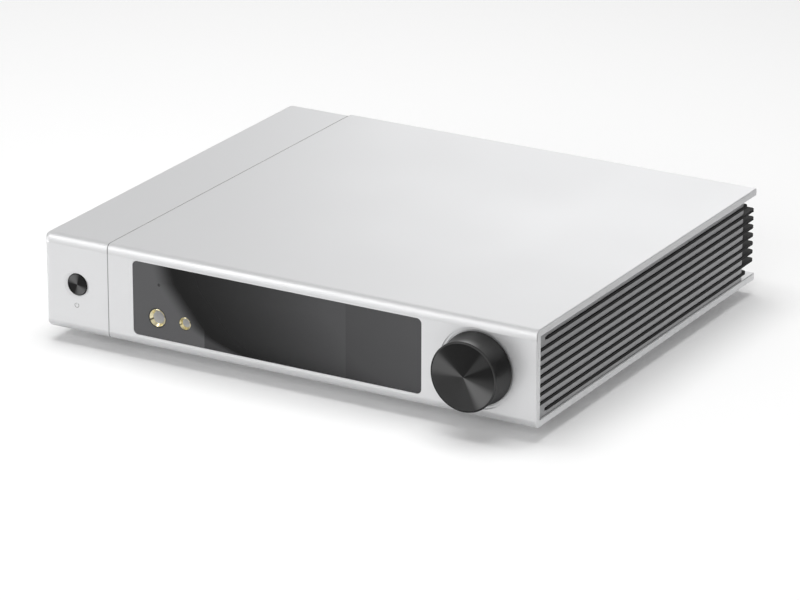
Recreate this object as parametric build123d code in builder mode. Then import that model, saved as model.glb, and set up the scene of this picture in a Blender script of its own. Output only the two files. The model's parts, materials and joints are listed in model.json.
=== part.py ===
"""Network music streamer with headphone outputs, as an assembly of separate solids.

A milled aluminium shell wraps the top, front and bottom.  A power pod closes it on the left, a
finned side wall on the right and a recessed panel at the back.  The front carries a glass display
panel with two headphone jacks, a power button and a large rotary knob.

The frame has +Z up and the front facing -Y, with X running to the listener's right.  The origin is
on the surface that the feet stand on, in the middle of the overall box.  All sizes are millimetres.
"""

import os

from build123d import *

os.makedirs("parts", exist_ok=True)

# Shell
shell_width = 291.0
shell_depth = 248.0
shell_height = 52.0
plate = 4.0
edge_radius = 3.0
end_chamfer = 0.4
seam_chamfer = 0.25

# Power pod
pod_width = 39.4
pod_corner_radius = 3.5
partition = 3.0
wire_window_depth = 22.0
wire_window_height = 16.0
wire_window_setback = 46.0

# Clearances
seat_gap = 0.05
slip_gap = 0.12
running_gap = 0.05
fuse_overlap = 0.05
overrun = 1.0

# Screws
screw_radius = 1.5
screw_head_radius = 2.6
screw_head_height = 1.6
screw_engagement = 6.0
seam_screw_shares = (0.2, 0.75)
small_screw_radius = 1.0
small_head_radius = 1.9
small_head_height = 1.2
small_thread_share = 0.6

# Feet
foot_radius = 15.0
foot_cup_height = 7.0
foot_top_radius = 13.0
foot_lip = 1.0
foot_inset = 34.0
foot_thread_share = 0.8
pad_radius = 11.0
pad_height = 2.4
pad_stand = 1.0

# Finned side
wall_setback = 0.9
wall_thickness = 11.1
wall_end_radius = 3.5
fin_count = 9
fin_margin = 3.16
fin_thickness = 1.5
fin_proud = 0.5
fin_seat_depth = 4.6
fin_corner_radius = 2.2
short_fin_start = 6.15
long_fin_tail = 8.55
wall_screw_count = 3

# Rear panel
panel_setback = 9.0
panel_thickness = 2.4
boss_width = 9.0
boss_height = 6.0
boss_depth = 9.0
seam_boss_gap = 7.5

# Display panel
display_left = 54.8
display_knob_gap = 10.15
display_margin = 5.9
display_corner = 2.6
glass_inset = 0.2
glass_thickness = 1.9
tape_thickness = 0.3
tape_margin = 0.3
ledge_width = 2.5
post_radius = 1.9
bracket_thickness = 1.2
bracket_window_margin = 4.6
bracket_window_height = 11.0
lcd_left_offset = 39.0
lcd_right_offset = 39.8
lcd_margin = 3.6
lcd_thickness = 3.6
lcd_frame = 4.0
lcd_recess = 0.3
lcd_post_shares = (0.2, 0.8)
sensor_offset_x = 15.7
sensor_drop = 10.8
sensor_radius = 0.75
receiver_width = 6.0
receiver_height = 6.5
receiver_dome_radius = 2.0

# Headphone jacks
jack_offset_z = 11.1
large_jack_offset_x = 14.5
large_ring_radius = 5.46
large_ferrule_radius = 4.8
large_sleeve_radius = 3.75
large_bore_radius = 3.33
small_jack_offset_x = 31.3
small_ring_radius = 3.65
small_ferrule_radius = 3.4
small_sleeve_radius = 2.6
small_bore_radius = 2.25
ferrule_lip = 1.5
ferrule_proud = 0.15
jack_body_width = 14.0
small_jack_body_width = 11.0
jack_body_depth = 28.0
jack_bore_floor = 3.0
front_board_thickness = 1.6

# Power button
button_radius = 5.95
button_gap = 0.2
button_recess = 0.6
button_face_chamfer = 0.3
button_ring_radius = 7.6
button_ring_depth = 1.0
button_flange_radius = 7.6
button_flange = 1.2
button_travel = 0.8
button_stem_radius = 1.6
switch_width = 7.0
switch_depth = 4.2
switch_cap = 0.6
button_post_radius = 2.2
button_post_spread = 12.0

# Volume knob and encoder
knob_from_right = 33.7
knob_projection = 14.3
knob_face_radius = 18.55
knob_bevel = 1.4
knob_bevel_depth = 0.45
knob_rim_width = 1.2
knob_undercut = 0.8
knob_waist_radius = 17.0
knob_cove_rise = 0.9
knob_skirt_radius = 19.45
knob_skirt_width = 0.8
knob_sink = 0.4
knob_cavity_radius = 9.0
knob_cavity_front = 4.8
knob_face_thickness = 2.2
knob_travel = 0.5
well_radius = 20.3
well_depth = 1.6
well_step_radius = 21.55
well_step_depth = 0.8
encoder_body_width = 16.0
encoder_body_depth = 8.6
bushing_radius = 4.45
bushing_length = 7.4
bushing_nut_flats = 11.0
bushing_nut_height = 2.0
shaft_radius = 3.0
shaft_flat = 2.1
rotor_radius = 6.2
rotor_thickness = 2.6
rotor_front_wall = 1.4
grub_radius = 1.25
grub_depth_share = 0.5

# Boards
board_thickness = 1.6
board_barrel_gap = 2.2
board_side_margin = 5.0
board_front_setback = 50.0
standoff_flats = 5.5
standoff_shank_radius = 1.6
standoff_shank = 2.6
main_standoff_x_shares = (0.03, 0.5, 0.97)
main_standoff_y_shares = (0.04, 0.66)
psu_standoff_x_shares = (0.14, 0.86)
psu_standoff_y_shares = (0.04, 0.96)
board_thread_share = 0.8
psu_side_gap = 1.6
psu_front_setback = 34.0
psu_rear_gap = 6.0

# Power supply pieces
core_width = 25.0
core_depth = 24.0
core_height = 24.0
winding_inset = 3.0
core_share = 0.3
bulk_radius = 8.0
bulk_height = 26.0
bulk_count = 3
bulk_pitch = 20.0
bulk_share = 0.7
can_bevel = 0.8
sink_thickness = 3.0
sink_setback = 11.0
sink_foot_width = 9.0
sink_height = 22.0

# Main board pieces, placed as shares of the board
chip_shares = (0.17, 0.42)
shield_shares = (0.62, 0.28)
filter_cap_shares = (0.72, 0.62)
chip_width = 32.0
chip_height = 2.4
chip_sink_height = 12.0
chip_sink_base = 3.0
chip_fin_count = 9
chip_fin_thickness = 1.2
shield_width = 70.0
shield_depth = 52.0
shield_height = 9.0
shield_wall = 0.8
filter_cap_radius = 5.0
filter_cap_height = 14.0
filter_cap_columns = 4
filter_cap_rows = 2
filter_cap_pitch = 13.0

# Mains inlet with its fuse drawer
inlet_body_width = 26.8
inlet_wall = 2.0
inlet_depth = 26.0
inlet_flange_side = 2.0
inlet_flange_end = 0.7
inlet_flange = 2.2
socket_width = 24.2
socket_height = 16.6
socket_corner = 4.5
socket_depth = 16.5
pin_thickness = 2.0
pin_height = 4.0
pin_spacing = 7.0
pin_stagger = 4.0
pin_setback = 1.0
pin_tail = 6.0
drawer_width = 23.0
drawer_height = 8.2
drawer_depth = 13.0
drawer_gap = 0.12
drawer_wall = 1.2
drawer_grip = 1.6
fuse_radius = 2.6
fuse_length = 20.0
fuse_gap = 0.1
fuse_cap_length = 5.0

# Rear sockets, placed as shares of the span from the seam to the side wall
ethernet_share = 0.115
usb_pair_share = 0.2
usb_square_share = 0.28
optical_share = 0.35
coax_share = 0.415
trigger_share = 0.05
balanced_shares = (0.53, 0.665)
line_out_shares = (0.79, 0.88)
socket_gap = 0.15
socket_stand = 0.4
ethernet_width = 16.0
ethernet_height = 13.4
ethernet_depth = 21.0
ethernet_opening_width = 11.9
ethernet_opening_height = 8.2
ethernet_opening_depth = 13.0
ethernet_latch_width = 6.2
ethernet_latch_height = 2.2
usb_width = 13.4
usb_height = 15.6
usb_depth = 17.5
usb_opening_width = 12.5
usb_opening_height = 5.1
usb_opening_depth = 12.0
usb_row_pitch = 7.4
usb_tongue_width = 11.1
usb_tongue_height = 1.8
usb_square_width = 12.0
usb_square_height = 11.0
usb_square_depth = 16.0
usb_square_opening = 8.5
usb_square_opening_depth = 9.5
usb_square_tongue_width = 5.6
usb_square_tongue_height = 3.2
optical_width = 11.6
optical_height = 11.6
optical_depth = 15.0
optical_opening_width = 8.4
optical_opening_height = 8.0
optical_opening_depth = 12.4
shutter_thickness = 0.9
shutter_barrel_radius = 0.75
shutter_pin_radius = 0.4
shutter_pin_length = 0.9
shutter_gap = 0.15
shutter_setback = 2.95
trigger_width = 9.0
trigger_height = 7.6
trigger_depth = 13.0
trigger_collar_radius = 3.2
trigger_bore_radius = 1.8
phono_collar_radius = 5.6
phono_collar = 1.6
phono_sleeve_radius = 4.15
phono_sleeve_length = 8.0
phono_insert_radius = 3.3
phono_hole_radius = 1.65
phono_body_width = 11.0
phono_body_depth = 12.0
balanced_flange_width = 26.0
balanced_flange_height = 31.0
balanced_flange = 1.8
balanced_corner = 2.0
balanced_barrel_radius = 11.6
balanced_barrel_depth = 22.0
balanced_bore_radius = 8.4
balanced_bore_depth = 18.0
balanced_pin_radius = 1.2
balanced_pin_circle = 3.8
balanced_pin_setback = 3.0
balanced_pin_tail = 4.0
balanced_pin_rise_share = 0.6
balanced_screw_inset = 3.4

# Places worked out from the driving sizes
foot_height = foot_cup_height + pad_stand
left_x = -shell_width / 2
right_x = shell_width / 2
seam_x = left_x + pod_width
front_y = (knob_projection - shell_depth) / 2
rear_y = front_y + shell_depth
inner_front_y = front_y + plate
base_z = foot_height
top_z = base_z + shell_height
floor_z = base_z + plate
roof_z = top_z - plate
mid_y = (front_y + rear_y) / 2
mid_z = (base_z + top_z) / 2
panel_rear_y = rear_y - panel_setback
panel_front_y = panel_rear_y - panel_thickness
wall_outer_x = right_x - wall_setback
wall_inner_x = wall_outer_x - wall_thickness
pod_inner_left_x = left_x + plate
pod_inner_right_x = seam_x - partition
pod_mid_x = (pod_inner_left_x + pod_inner_right_x) / 2
button_x = (left_x + seam_x) / 2
board_top_z = mid_z - balanced_barrel_radius - board_barrel_gap
board_z = board_top_z - board_thickness
board_rise = board_z - floor_z


def across(depth):
    """Return the sketch plane parallel to the front face, depth behind it, facing the listener."""
    return Plane.XZ.offset(-(front_y + depth))


def slab(x_span, y_span, z_span, mode=Mode.ADD):
    """Add or cut a rectangular block between two limits on each axis."""
    spans = (x_span, y_span, z_span)
    with Locations(tuple((low + high) / 2 for low, high in spans)):
        Box(*(high - low for low, high in spans), mode=mode)


def around(centre, size):
    """Return the limits of a span of the given size about its centre."""
    return (centre - size / 2, centre + size / 2)


def along(span, share):
    """Return the place at a share of the way along a span."""
    return span[0] + (span[1] - span[0]) * share


def rod(radius, y_span, x, z, mode=Mode.ADD):
    """Add or cut a round bar that runs front to back."""
    low, high = y_span
    with Locations((x, (low + high) / 2, z)):
        Cylinder(radius, high - low, rotation=(90, 0, 0), mode=mode)


def post(radius, z_span, x, y, mode=Mode.ADD):
    """Add or cut an upright round bar."""
    low, high = z_span
    with Locations((x, y, (low + high) / 2)):
        Cylinder(radius, high - low, mode=mode)


def turned(x, z, outline, mode=Mode.ADD):
    """Turn an outline of (radius, y) points about the front-to-back axis through x and z."""
    with BuildSketch(Plane.YZ.offset(x)) as half:
        with BuildLine():
            Polyline(*[(y, z + radius) for radius, y in outline], close=True)
        make_face()
    revolve(half.sketch, axis=Axis((x, 0, z), (0, 1, 0)), mode=mode)


def screw(x, y_head, z, length, radius, head_radius, head_height):
    """Add a socket screw that points forward, its head standing on the surface at y_head."""
    rod(head_radius, (y_head, y_head + head_height), x, z)
    rod(radius, (y_head - length, y_head), x, z)
    rod(radius / 2, (y_head + head_height / 2, y_head + head_height + overrun), x, z,
        mode=Mode.SUBTRACT)


# Rear sockets along the panel
socket_span = (seam_x, wall_inner_x)
socket_face_y = panel_rear_y + socket_stand
ethernet_x = along(socket_span, ethernet_share)
usb_pair_x = along(socket_span, usb_pair_share)
usb_square_x = along(socket_span, usb_square_share)
optical_x = along(socket_span, optical_share)
trigger_x = along(socket_span, trigger_share)
phono_xs = tuple(along(socket_span, share) for share in (coax_share,) + line_out_shares)
balanced_xs = tuple(along(socket_span, share) for share in balanced_shares)

# Bosses and screw places shared by several pieces
main_boss_xs = (
    seam_x + seam_boss_gap + boss_width,
    (phono_xs[0] + phono_collar_radius + balanced_xs[0] - balanced_flange_width / 2) / 2,
    wall_inner_x - boss_width,
)
pod_boss_x = pod_inner_left_x + boss_width / 2
rear_screw_xs = (pod_boss_x,) + main_boss_xs
low_screw_z = floor_z + boss_height / 2
high_screw_z = roof_z - boss_height / 2
boss_y_span = (panel_front_y - boss_depth, panel_front_y)
seam_screw_ys = tuple(front_y + shell_depth * share for share in seam_screw_shares)
seam_boss_x_span = (seam_x, seam_x + boss_width)
foot_xs = (left_x + foot_inset, right_x - foot_inset)
foot_ys = (front_y + foot_inset, rear_y - foot_inset)
foot_screw_depth = plate * foot_thread_share
knob_x = right_x - knob_from_right
display_left_x = left_x + display_left
display_width = knob_x - well_step_radius - display_knob_gap - display_left_x
display_x = display_left_x + display_width / 2
display_height = shell_height - 2 * display_margin
display_bottom_z = mid_z - display_height / 2
pocket_depth = glass_inset + glass_thickness + tape_thickness
glass_back = glass_inset + glass_thickness
window_width = display_width - 2 * ledge_width
window_height = display_height - 2 * ledge_width
wall_screw_ys = tuple(
    inner_front_y + (panel_front_y - inner_front_y) * (index + 0.5) / wall_screw_count
    for index in range(wall_screw_count)
)
wall_screw_x = wall_inner_x + (wall_thickness - fin_seat_depth) / 2

# The LCD, its bracket and the headphone board stand on posts behind the front wall
lcd_left_x = display_left_x + lcd_left_offset
lcd_right_x = display_left_x + display_width - lcd_right_offset
lcd_width = lcd_right_x - lcd_left_x
lcd_height = display_height - 2 * lcd_margin
lcd_back = glass_back + lcd_thickness
post_y_span = (inner_front_y - fuse_overlap, front_y + lcd_back)
post_rise = (window_height / 2 + (roof_z - floor_z) / 2) / 2
lcd_post_xs = tuple(lcd_left_x + lcd_width * share for share in lcd_post_shares)
front_board_x_span = (display_left_x + ledge_width, lcd_left_x - bracket_thickness)
front_board_post_xs = (
    front_board_x_span[0] + post_radius * 2,
    front_board_x_span[1] - post_radius * 2,
)
post_zs = (mid_z - post_rise, mid_z + post_rise)

large_jack_x = display_left_x + large_jack_offset_x
small_jack_x = display_left_x + small_jack_offset_x
jack_z = display_bottom_z + jack_offset_z
sensor_x = display_left_x + sensor_offset_x
sensor_z = display_bottom_z + display_height - sensor_drop

# Side wall: a silver wall set a little back from the plates, its outer rear edge rounded
fin_outer_x = wall_outer_x + fin_proud
fin_inner_x = wall_outer_x - fin_seat_depth
fin_pitch = (roof_z - floor_z - 2 * fin_margin) / (fin_count - 1)
fin_zs = tuple(floor_z + fin_margin + index * fin_pitch for index in range(fin_count))
short_fin_y_span = (inner_front_y + short_fin_start, panel_rear_y)
long_fin_y_span = (inner_front_y + seat_gap, panel_rear_y + long_fin_tail)

with BuildPart() as side_wall:
    slab((wall_inner_x, wall_outer_x), (inner_front_y, panel_front_y), (floor_z, roof_z - slip_gap))
    fillet(side_wall.edges().filter_by(Axis.Z).group_by(Axis.X)[-1].sort_by(Axis.Y)[-1],
           radius=wall_end_radius)
    for index, z in enumerate(fin_zs):
        short = index in (0, fin_count - 1)
        start_y = short_fin_y_span[0] - slip_gap if short else inner_front_y - overrun
        slab((fin_inner_x - slip_gap, wall_outer_x + overrun), (start_y, panel_front_y + overrun),
             around(z, fin_thickness + 2 * seat_gap), mode=Mode.SUBTRACT)
    for y in wall_screw_ys:
        post(screw_radius + seat_gap, (floor_z - overrun, floor_z + screw_engagement), wall_screw_x, y,
             mode=Mode.SUBTRACT)
side_wall.part.label = "side_wall"
export_step(side_wall.part, "parts/side_wall.step")

# Side fins: black bars seated in the wall's grooves, the long ones running on past the rear panel
with BuildPart() as side_fins:
    for index, z in enumerate(fin_zs):
        short = index in (0, fin_count - 1)
        low, high = short_fin_y_span if short else long_fin_y_span
        with BuildSketch(Plane.XY.offset(z - fin_thickness / 2)) as fin_plan:
            with Locations(((fin_inner_x + fin_outer_x) / 2, (low + high) / 2)):
                Rectangle(fin_outer_x - fin_inner_x, high - low)
            outer_corners = fin_plan.vertices().group_by(Axis.X)[-1].sort_by(Axis.Y)
            fillet(outer_corners if short else outer_corners[-1], radius=fin_corner_radius)
        extrude(amount=fin_thickness)
side_fins.part.label = "side_fins"
export_step(side_fins.part, "parts/side_fins.step")

with BuildPart() as side_wall_screws:
    for y in wall_screw_ys:
        post(screw_head_radius, (base_z, base_z + screw_head_height), wall_screw_x, y)
        post(screw_radius, (base_z, floor_z + screw_engagement - slip_gap), wall_screw_x, y)
        post(screw_radius / 2, (base_z - overrun, base_z + screw_head_height / 2), wall_screw_x, y,
             mode=Mode.SUBTRACT)
side_wall_screws.part.label = "side_wall_screws"
export_step(side_wall_screws.part, "parts/side_wall_screws.step")

# Screws that pull the power pod against the main shell
with BuildPart() as seam_screws:
    for y in seam_screw_ys:
        for z in (low_screw_z, high_screw_z):
            with Locations((pod_inner_right_x - screw_head_height / 2, y, z)):
                Cylinder(screw_head_radius, screw_head_height, rotation=(0, 90, 0))
            with Locations(((pod_inner_right_x + seam_x + screw_engagement - slip_gap) / 2, y, z)):
                Cylinder(screw_radius, seam_x + screw_engagement - slip_gap - pod_inner_right_x,
                         rotation=(0, 90, 0))
seam_screws.part.label = "seam_screws"
export_step(seam_screws.part, "parts/seam_screws.step")

# Feet: turned cups with rubber pads, each held by one screw under its pad
pad_top_z = pad_height
head_low_z = pad_top_z + slip_gap
head_high_z = head_low_z + screw_head_height


def turned_up(x, y, outline, mode=Mode.ADD):
    """Turn an outline of (radius, z) points about the upright axis through x and y."""
    with BuildSketch(Plane.XZ.offset(-y)) as half:
        with BuildLine():
            Polyline(*[(x + radius, z) for radius, z in outline], close=True)
        make_face()
    revolve(half.sketch, axis=Axis((x, y, 0), (0, 0, 1)), mode=mode)


with BuildPart() as feet:
    for x in foot_xs:
        for y in foot_ys:
            turned_up(x, y, [
                (screw_radius + slip_gap, base_z),
                (foot_top_radius, base_z),
                (foot_radius, base_z - foot_cup_height / 2),
                (foot_radius, pad_stand + foot_lip),
                (foot_radius - foot_lip, pad_stand),
                (pad_radius + slip_gap, pad_stand),
                (pad_radius + slip_gap, pad_top_z),
                (screw_head_radius + slip_gap, pad_top_z),
                (screw_head_radius + slip_gap, head_high_z),
                (screw_radius + slip_gap, head_high_z),
            ])
feet.part.label = "feet"
export_step(feet.part, "parts/feet.step")

with BuildPart() as foot_pads:
    for x in foot_xs:
        for y in foot_ys:
            post(pad_radius, (0, pad_height), x, y)
    pad_edges = foot_pads.edges().filter_by(GeomType.CIRCLE).group_by(Axis.Z)[0]
    chamfer(pad_edges, length=pad_stand / 2)
foot_pads.part.label = "foot_pads"
export_step(foot_pads.part, "parts/foot_pads.step")

with BuildPart() as foot_screws:
    for x in foot_xs:
        for y in foot_ys:
            post(screw_head_radius, (head_low_z, head_high_z), x, y)
            post(screw_radius, (head_low_z, base_z + foot_screw_depth - slip_gap), x, y)
foot_screws.part.label = "foot_screws"
export_step(foot_screws.part, "parts/foot_screws.step")

# Display: glass on a tape frame, the LCD bonded behind it and held by a bracket
with BuildPart() as display_glass:
    with BuildSketch(across(glass_inset)):
        with Locations((display_x, mid_z)):
            RectangleRounded(display_width, display_height, display_corner)
        with Locations((large_jack_x, jack_z)):
            Circle(large_ring_radius, mode=Mode.SUBTRACT)
        with Locations((small_jack_x, jack_z)):
            Circle(small_ring_radius, mode=Mode.SUBTRACT)
        with Locations((sensor_x, sensor_z)):
            Circle(sensor_radius + seat_gap, mode=Mode.SUBTRACT)
    extrude(amount=-glass_thickness)
display_glass.part.label = "display_glass"
export_step(display_glass.part, "parts/display_glass.step")

with BuildPart() as glass_tape:
    with BuildSketch(across(glass_back)):
        with Locations((display_x, mid_z)):
            RectangleRounded(display_width - 2 * tape_margin, display_height - 2 * tape_margin,
                             display_corner - tape_margin)
            RectangleRounded(window_width + 2 * tape_margin, window_height + 2 * tape_margin,
                             display_corner, mode=Mode.SUBTRACT)
    extrude(amount=-tape_thickness)
glass_tape.part.label = "glass_tape"
export_step(glass_tape.part, "parts/glass_tape.step")

with BuildPart() as lcd_module:
    slab((lcd_left_x, lcd_right_x), (front_y + glass_back, front_y + lcd_back), around(mid_z, lcd_height))
    slab((lcd_left_x + lcd_frame, lcd_right_x - lcd_frame),
         (front_y + glass_back - overrun, front_y + glass_back + lcd_recess),
         around(mid_z, lcd_height - 2 * lcd_frame), mode=Mode.SUBTRACT)
lcd_module.part.label = "lcd_module"
export_step(lcd_module.part, "parts/lcd_module.step")

bracket_y_span = (front_y + lcd_back, front_y + lcd_back + bracket_thickness)
bracket_height = 2 * (post_rise + post_radius)
with BuildPart() as lcd_bracket:
    slab((lcd_left_x, lcd_right_x), bracket_y_span, around(mid_z, bracket_height))
    slab((lcd_post_xs[0] + bracket_window_margin, lcd_post_xs[-1] - bracket_window_margin),
         (bracket_y_span[0] - overrun, bracket_y_span[1] + overrun),
         around(mid_z, bracket_window_height), mode=Mode.SUBTRACT)
    for x in lcd_post_xs:
        for z in post_zs:
            rod(small_screw_radius + slip_gap, (bracket_y_span[0] - overrun, bracket_y_span[1] + overrun),
                x, z, mode=Mode.SUBTRACT)
lcd_bracket.part.label = "lcd_bracket"
export_step(lcd_bracket.part, "parts/lcd_bracket.step")

# Headphone board with the remote-control receiver and the two jacks
front_board_y_span = (front_y + lcd_back, front_y + lcd_back + front_board_thickness)
ferrule_front_y = front_y + glass_inset - ferrule_proud
with BuildPart() as headphone_board:
    slab(front_board_x_span, front_board_y_span, around(mid_z, bracket_height))
    board_cut_y_span = (front_board_y_span[0] - overrun, front_board_y_span[1] + overrun)
    rod(large_ferrule_radius + slip_gap, board_cut_y_span, large_jack_x, jack_z, mode=Mode.SUBTRACT)
    rod(small_ferrule_radius + slip_gap, board_cut_y_span, small_jack_x, jack_z, mode=Mode.SUBTRACT)
    for x in front_board_post_xs:
        for z in post_zs:
            rod(small_screw_radius + slip_gap, board_cut_y_span, x, z, mode=Mode.SUBTRACT)
headphone_board.part.label = "headphone_board"
export_step(headphone_board.part, "parts/headphone_board.step")

receiver_y_span = (front_y + glass_back + lcd_recess, front_board_y_span[0])
with BuildPart() as remote_receiver:
    slab(around(sensor_x, receiver_width), receiver_y_span, around(sensor_z, receiver_height))
    rod(receiver_dome_radius, (front_y + glass_back + seat_gap, receiver_y_span[1]), sensor_x, sensor_z)
remote_receiver.part.label = "remote_receiver"
export_step(remote_receiver.part, "parts/remote_receiver.step")

with BuildPart() as sensor_lens:
    rod(sensor_radius, (front_y + glass_inset, front_y + glass_back), sensor_x, sensor_z)
sensor_lens.part.label = "sensor_lens"
export_step(sensor_lens.part, "parts/sensor_lens.step")

jacks = (
    (large_jack_x, large_ring_radius, large_ferrule_radius, large_sleeve_radius, large_bore_radius),
    (small_jack_x, small_ring_radius, small_ferrule_radius, small_sleeve_radius, small_bore_radius),
)
ferrule_throat_y = ferrule_front_y + ferrule_lip
sleeve_y_span = (ferrule_throat_y + glass_inset, front_board_y_span[1])
with BuildPart() as jack_ferrules:
    for x, ring, ferrule, sleeve, bore in jacks:
        turned(x, jack_z, [
            (bore, ferrule_throat_y),
            (ferrule - glass_inset, ferrule_front_y),
            (ferrule, ferrule_front_y + glass_inset),
            (ferrule, front_board_y_span[1]),
            (sleeve + seat_gap, front_board_y_span[1]),
            (sleeve + seat_gap, sleeve_y_span[0]),
            (bore, sleeve_y_span[0]),
        ])
jack_ferrules.part.label = "jack_ferrules"
export_step(jack_ferrules.part, "parts/jack_ferrules.step")

with BuildPart() as jack_sleeves:
    for x, ring, ferrule, sleeve, bore in jacks:
        rod(sleeve, sleeve_y_span, x, jack_z)
        rod(bore, (sleeve_y_span[0] - overrun, sleeve_y_span[1] + overrun), x, jack_z, mode=Mode.SUBTRACT)
jack_sleeves.part.label = "jack_sleeves"
export_step(jack_sleeves.part, "parts/jack_sleeves.step")

with BuildPart() as jack_collars:
    for x, ring, ferrule, sleeve, bore in jacks:
        rod(ring - seat_gap, (front_y + glass_inset, front_y + glass_back), x, jack_z)
        rod(ferrule + seat_gap, (front_y, front_y + glass_back + overrun), x, jack_z, mode=Mode.SUBTRACT)
jack_collars.part.label = "jack_collars"
export_step(jack_collars.part, "parts/jack_collars.step")

jack_body_y_span = (front_board_y_span[1], front_board_y_span[1] + jack_body_depth)
with BuildPart() as large_jack:
    slab(around(large_jack_x, jack_body_width), jack_body_y_span, around(jack_z, jack_body_width))
    chamfer(large_jack.edges().filter_by(Axis.Y), length=jack_bore_floor / 2)
    rod(large_bore_radius, (jack_body_y_span[0] - overrun, jack_body_y_span[1] - jack_bore_floor),
        large_jack_x, jack_z, mode=Mode.SUBTRACT)
large_jack.part.label = "large_jack"
export_step(large_jack.part, "parts/large_jack.step")

with BuildPart() as small_jack:
    slab(around(small_jack_x, small_jack_body_width), jack_body_y_span,
         around(jack_z, small_jack_body_width))
    chamfer(small_jack.edges().filter_by(Axis.Y), length=jack_bore_floor / 2)
    rod(small_bore_radius, (jack_body_y_span[0] - overrun, jack_body_y_span[1] - jack_bore_floor),
        small_jack_x, jack_z, mode=Mode.SUBTRACT)
small_jack.part.label = "small_jack"
export_step(small_jack.part, "parts/small_jack.step")

# Power button with its switch board
button_flange_y_span = (inner_front_y + seat_gap, inner_front_y + seat_gap + button_flange)
switch_front_y = button_flange_y_span[1] + button_travel + slip_gap
switch_y_span = (switch_front_y, switch_front_y + switch_depth)
stem_end_y = switch_y_span[1] - switch_cap - button_travel - slip_gap
button_board_y_span = (switch_y_span[1], switch_y_span[1] + board_thickness)
button_post_zs = (mid_z - button_post_spread, mid_z + button_post_spread)
with BuildPart() as power_button:
    turned(button_x, mid_z, [
        (0, front_y + button_recess),
        (button_radius - button_face_chamfer, front_y + button_recess),
        (button_radius, front_y + button_recess + button_face_chamfer),
        (button_radius, button_flange_y_span[0]),
        (button_flange_radius, button_flange_y_span[0]),
        (button_flange_radius, button_flange_y_span[1]),
        (button_stem_radius, button_flange_y_span[1]),
        (button_stem_radius, stem_end_y),
        (0, stem_end_y),
    ])
power_button.part.label = "power_button"
export_step(power_button.part, "parts/power_button.step")

with BuildPart() as button_switch:
    slab(around(button_x, switch_width), switch_y_span, around(mid_z, switch_width))
    rod(button_stem_radius + running_gap, (switch_y_span[0] - overrun, switch_y_span[1] - switch_cap),
        button_x, mid_z, mode=Mode.SUBTRACT)
button_switch.part.label = "button_switch"
export_step(button_switch.part, "parts/button_switch.step")

with BuildPart() as button_board:
    slab(around(button_x, 2 * button_flange_radius), button_board_y_span,
         around(mid_z, 2 * (button_post_spread + button_post_radius)))
    for z in button_post_zs:
        rod(small_screw_radius + slip_gap,
            (button_board_y_span[0] - overrun, button_board_y_span[1] + overrun),
            button_x, z, mode=Mode.SUBTRACT)
button_board.part.label = "button_board"
export_step(button_board.part, "parts/button_board.step")

# Small screws that hold the LCD bracket, the headphone board and the button board
small_screw_length = front_board_thickness + (lcd_back - plate) * small_thread_share
small_screw_places = [(x, bracket_y_span[1], z) for x in lcd_post_xs for z in post_zs]
small_screw_places += [(x, front_board_y_span[1], z) for x in front_board_post_xs for z in post_zs]
small_screw_places += [(button_x, button_board_y_span[1], z) for z in button_post_zs]
with BuildPart() as front_screws:
    for x, head_y, z in small_screw_places:
        screw(x, head_y, z, small_screw_length, small_screw_radius, small_head_radius,
              small_head_height)
front_screws.part.label = "front_screws"
export_step(front_screws.part, "parts/front_screws.step")

# Rotary encoder, its hollow rotor, and the knob that turns it and pushes its shaft in
encoder_y_span = (inner_front_y, inner_front_y + encoder_body_depth)
rotor_y_span = (
    inner_front_y + rotor_front_wall + running_gap,
    inner_front_y + rotor_front_wall + running_gap + rotor_thickness,
)
shaft_bore_end_y = encoder_y_span[1] - rotor_front_wall
shaft_y_span = (
    front_y - knob_projection + knob_face_thickness + seat_gap,
    shaft_bore_end_y - knob_travel - slip_gap,
)
nut_y_span = (front_y + well_depth - bushing_nut_height, front_y + well_depth)
knob_cavity_y = front_y - knob_cavity_front
grub_y = ((front_y - knob_projection + knob_face_thickness) + knob_cavity_y) / 2


def flatted_bar(radius, flat, y_span, mode=Mode.ADD):
    """Add or cut a bar on the knob's axis with one flat on its underside."""
    with BuildSketch(Plane.XZ.offset(-y_span[0])) as section:
        with Locations((knob_x, mid_z)):
            Circle(radius)
        with Locations((knob_x, mid_z - flat - radius)):
            Rectangle(2 * radius, 2 * radius, mode=Mode.SUBTRACT)
    extrude(section.sketch, amount=-(y_span[1] - y_span[0]), mode=mode)


with BuildPart() as encoder_body:
    slab(around(knob_x, encoder_body_width), encoder_y_span, around(mid_z, encoder_body_width))
    chamfer(encoder_body.edges().filter_by(Axis.Y), length=rotor_front_wall)
    rod(bushing_radius, (inner_front_y - bushing_length, inner_front_y + fuse_overlap), knob_x, mid_z)
    rod(shaft_radius + running_gap, (inner_front_y - bushing_length - overrun, shaft_bore_end_y),
        knob_x, mid_z, mode=Mode.SUBTRACT)
    rod(rotor_radius + slip_gap, (rotor_y_span[0] - running_gap, rotor_y_span[1] + running_gap),
        knob_x, mid_z, mode=Mode.SUBTRACT)
encoder_body.part.label = "encoder_body"
export_step(encoder_body.part, "parts/encoder_body.step")

with BuildPart() as encoder_rotor:
    rod(rotor_radius, rotor_y_span, knob_x, mid_z)
    flatted_bar(shaft_radius + running_gap, shaft_flat + running_gap,
                (rotor_y_span[0] - overrun, rotor_y_span[1] + overrun), mode=Mode.SUBTRACT)
encoder_rotor.part.label = "encoder_rotor"
export_step(encoder_rotor.part, "parts/encoder_rotor.step")

with BuildPart() as encoder_nut:
    with BuildSketch(Plane.XZ.offset(-nut_y_span[0])) as nut_section:
        with Locations((knob_x, mid_z)):
            RegularPolygon(bushing_nut_flats / 2, 6, major_radius=False)
            Circle(bushing_radius + seat_gap, mode=Mode.SUBTRACT)
    extrude(amount=-bushing_nut_height)
encoder_nut.part.label = "encoder_nut"
export_step(encoder_nut.part, "parts/encoder_nut.step")

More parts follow.
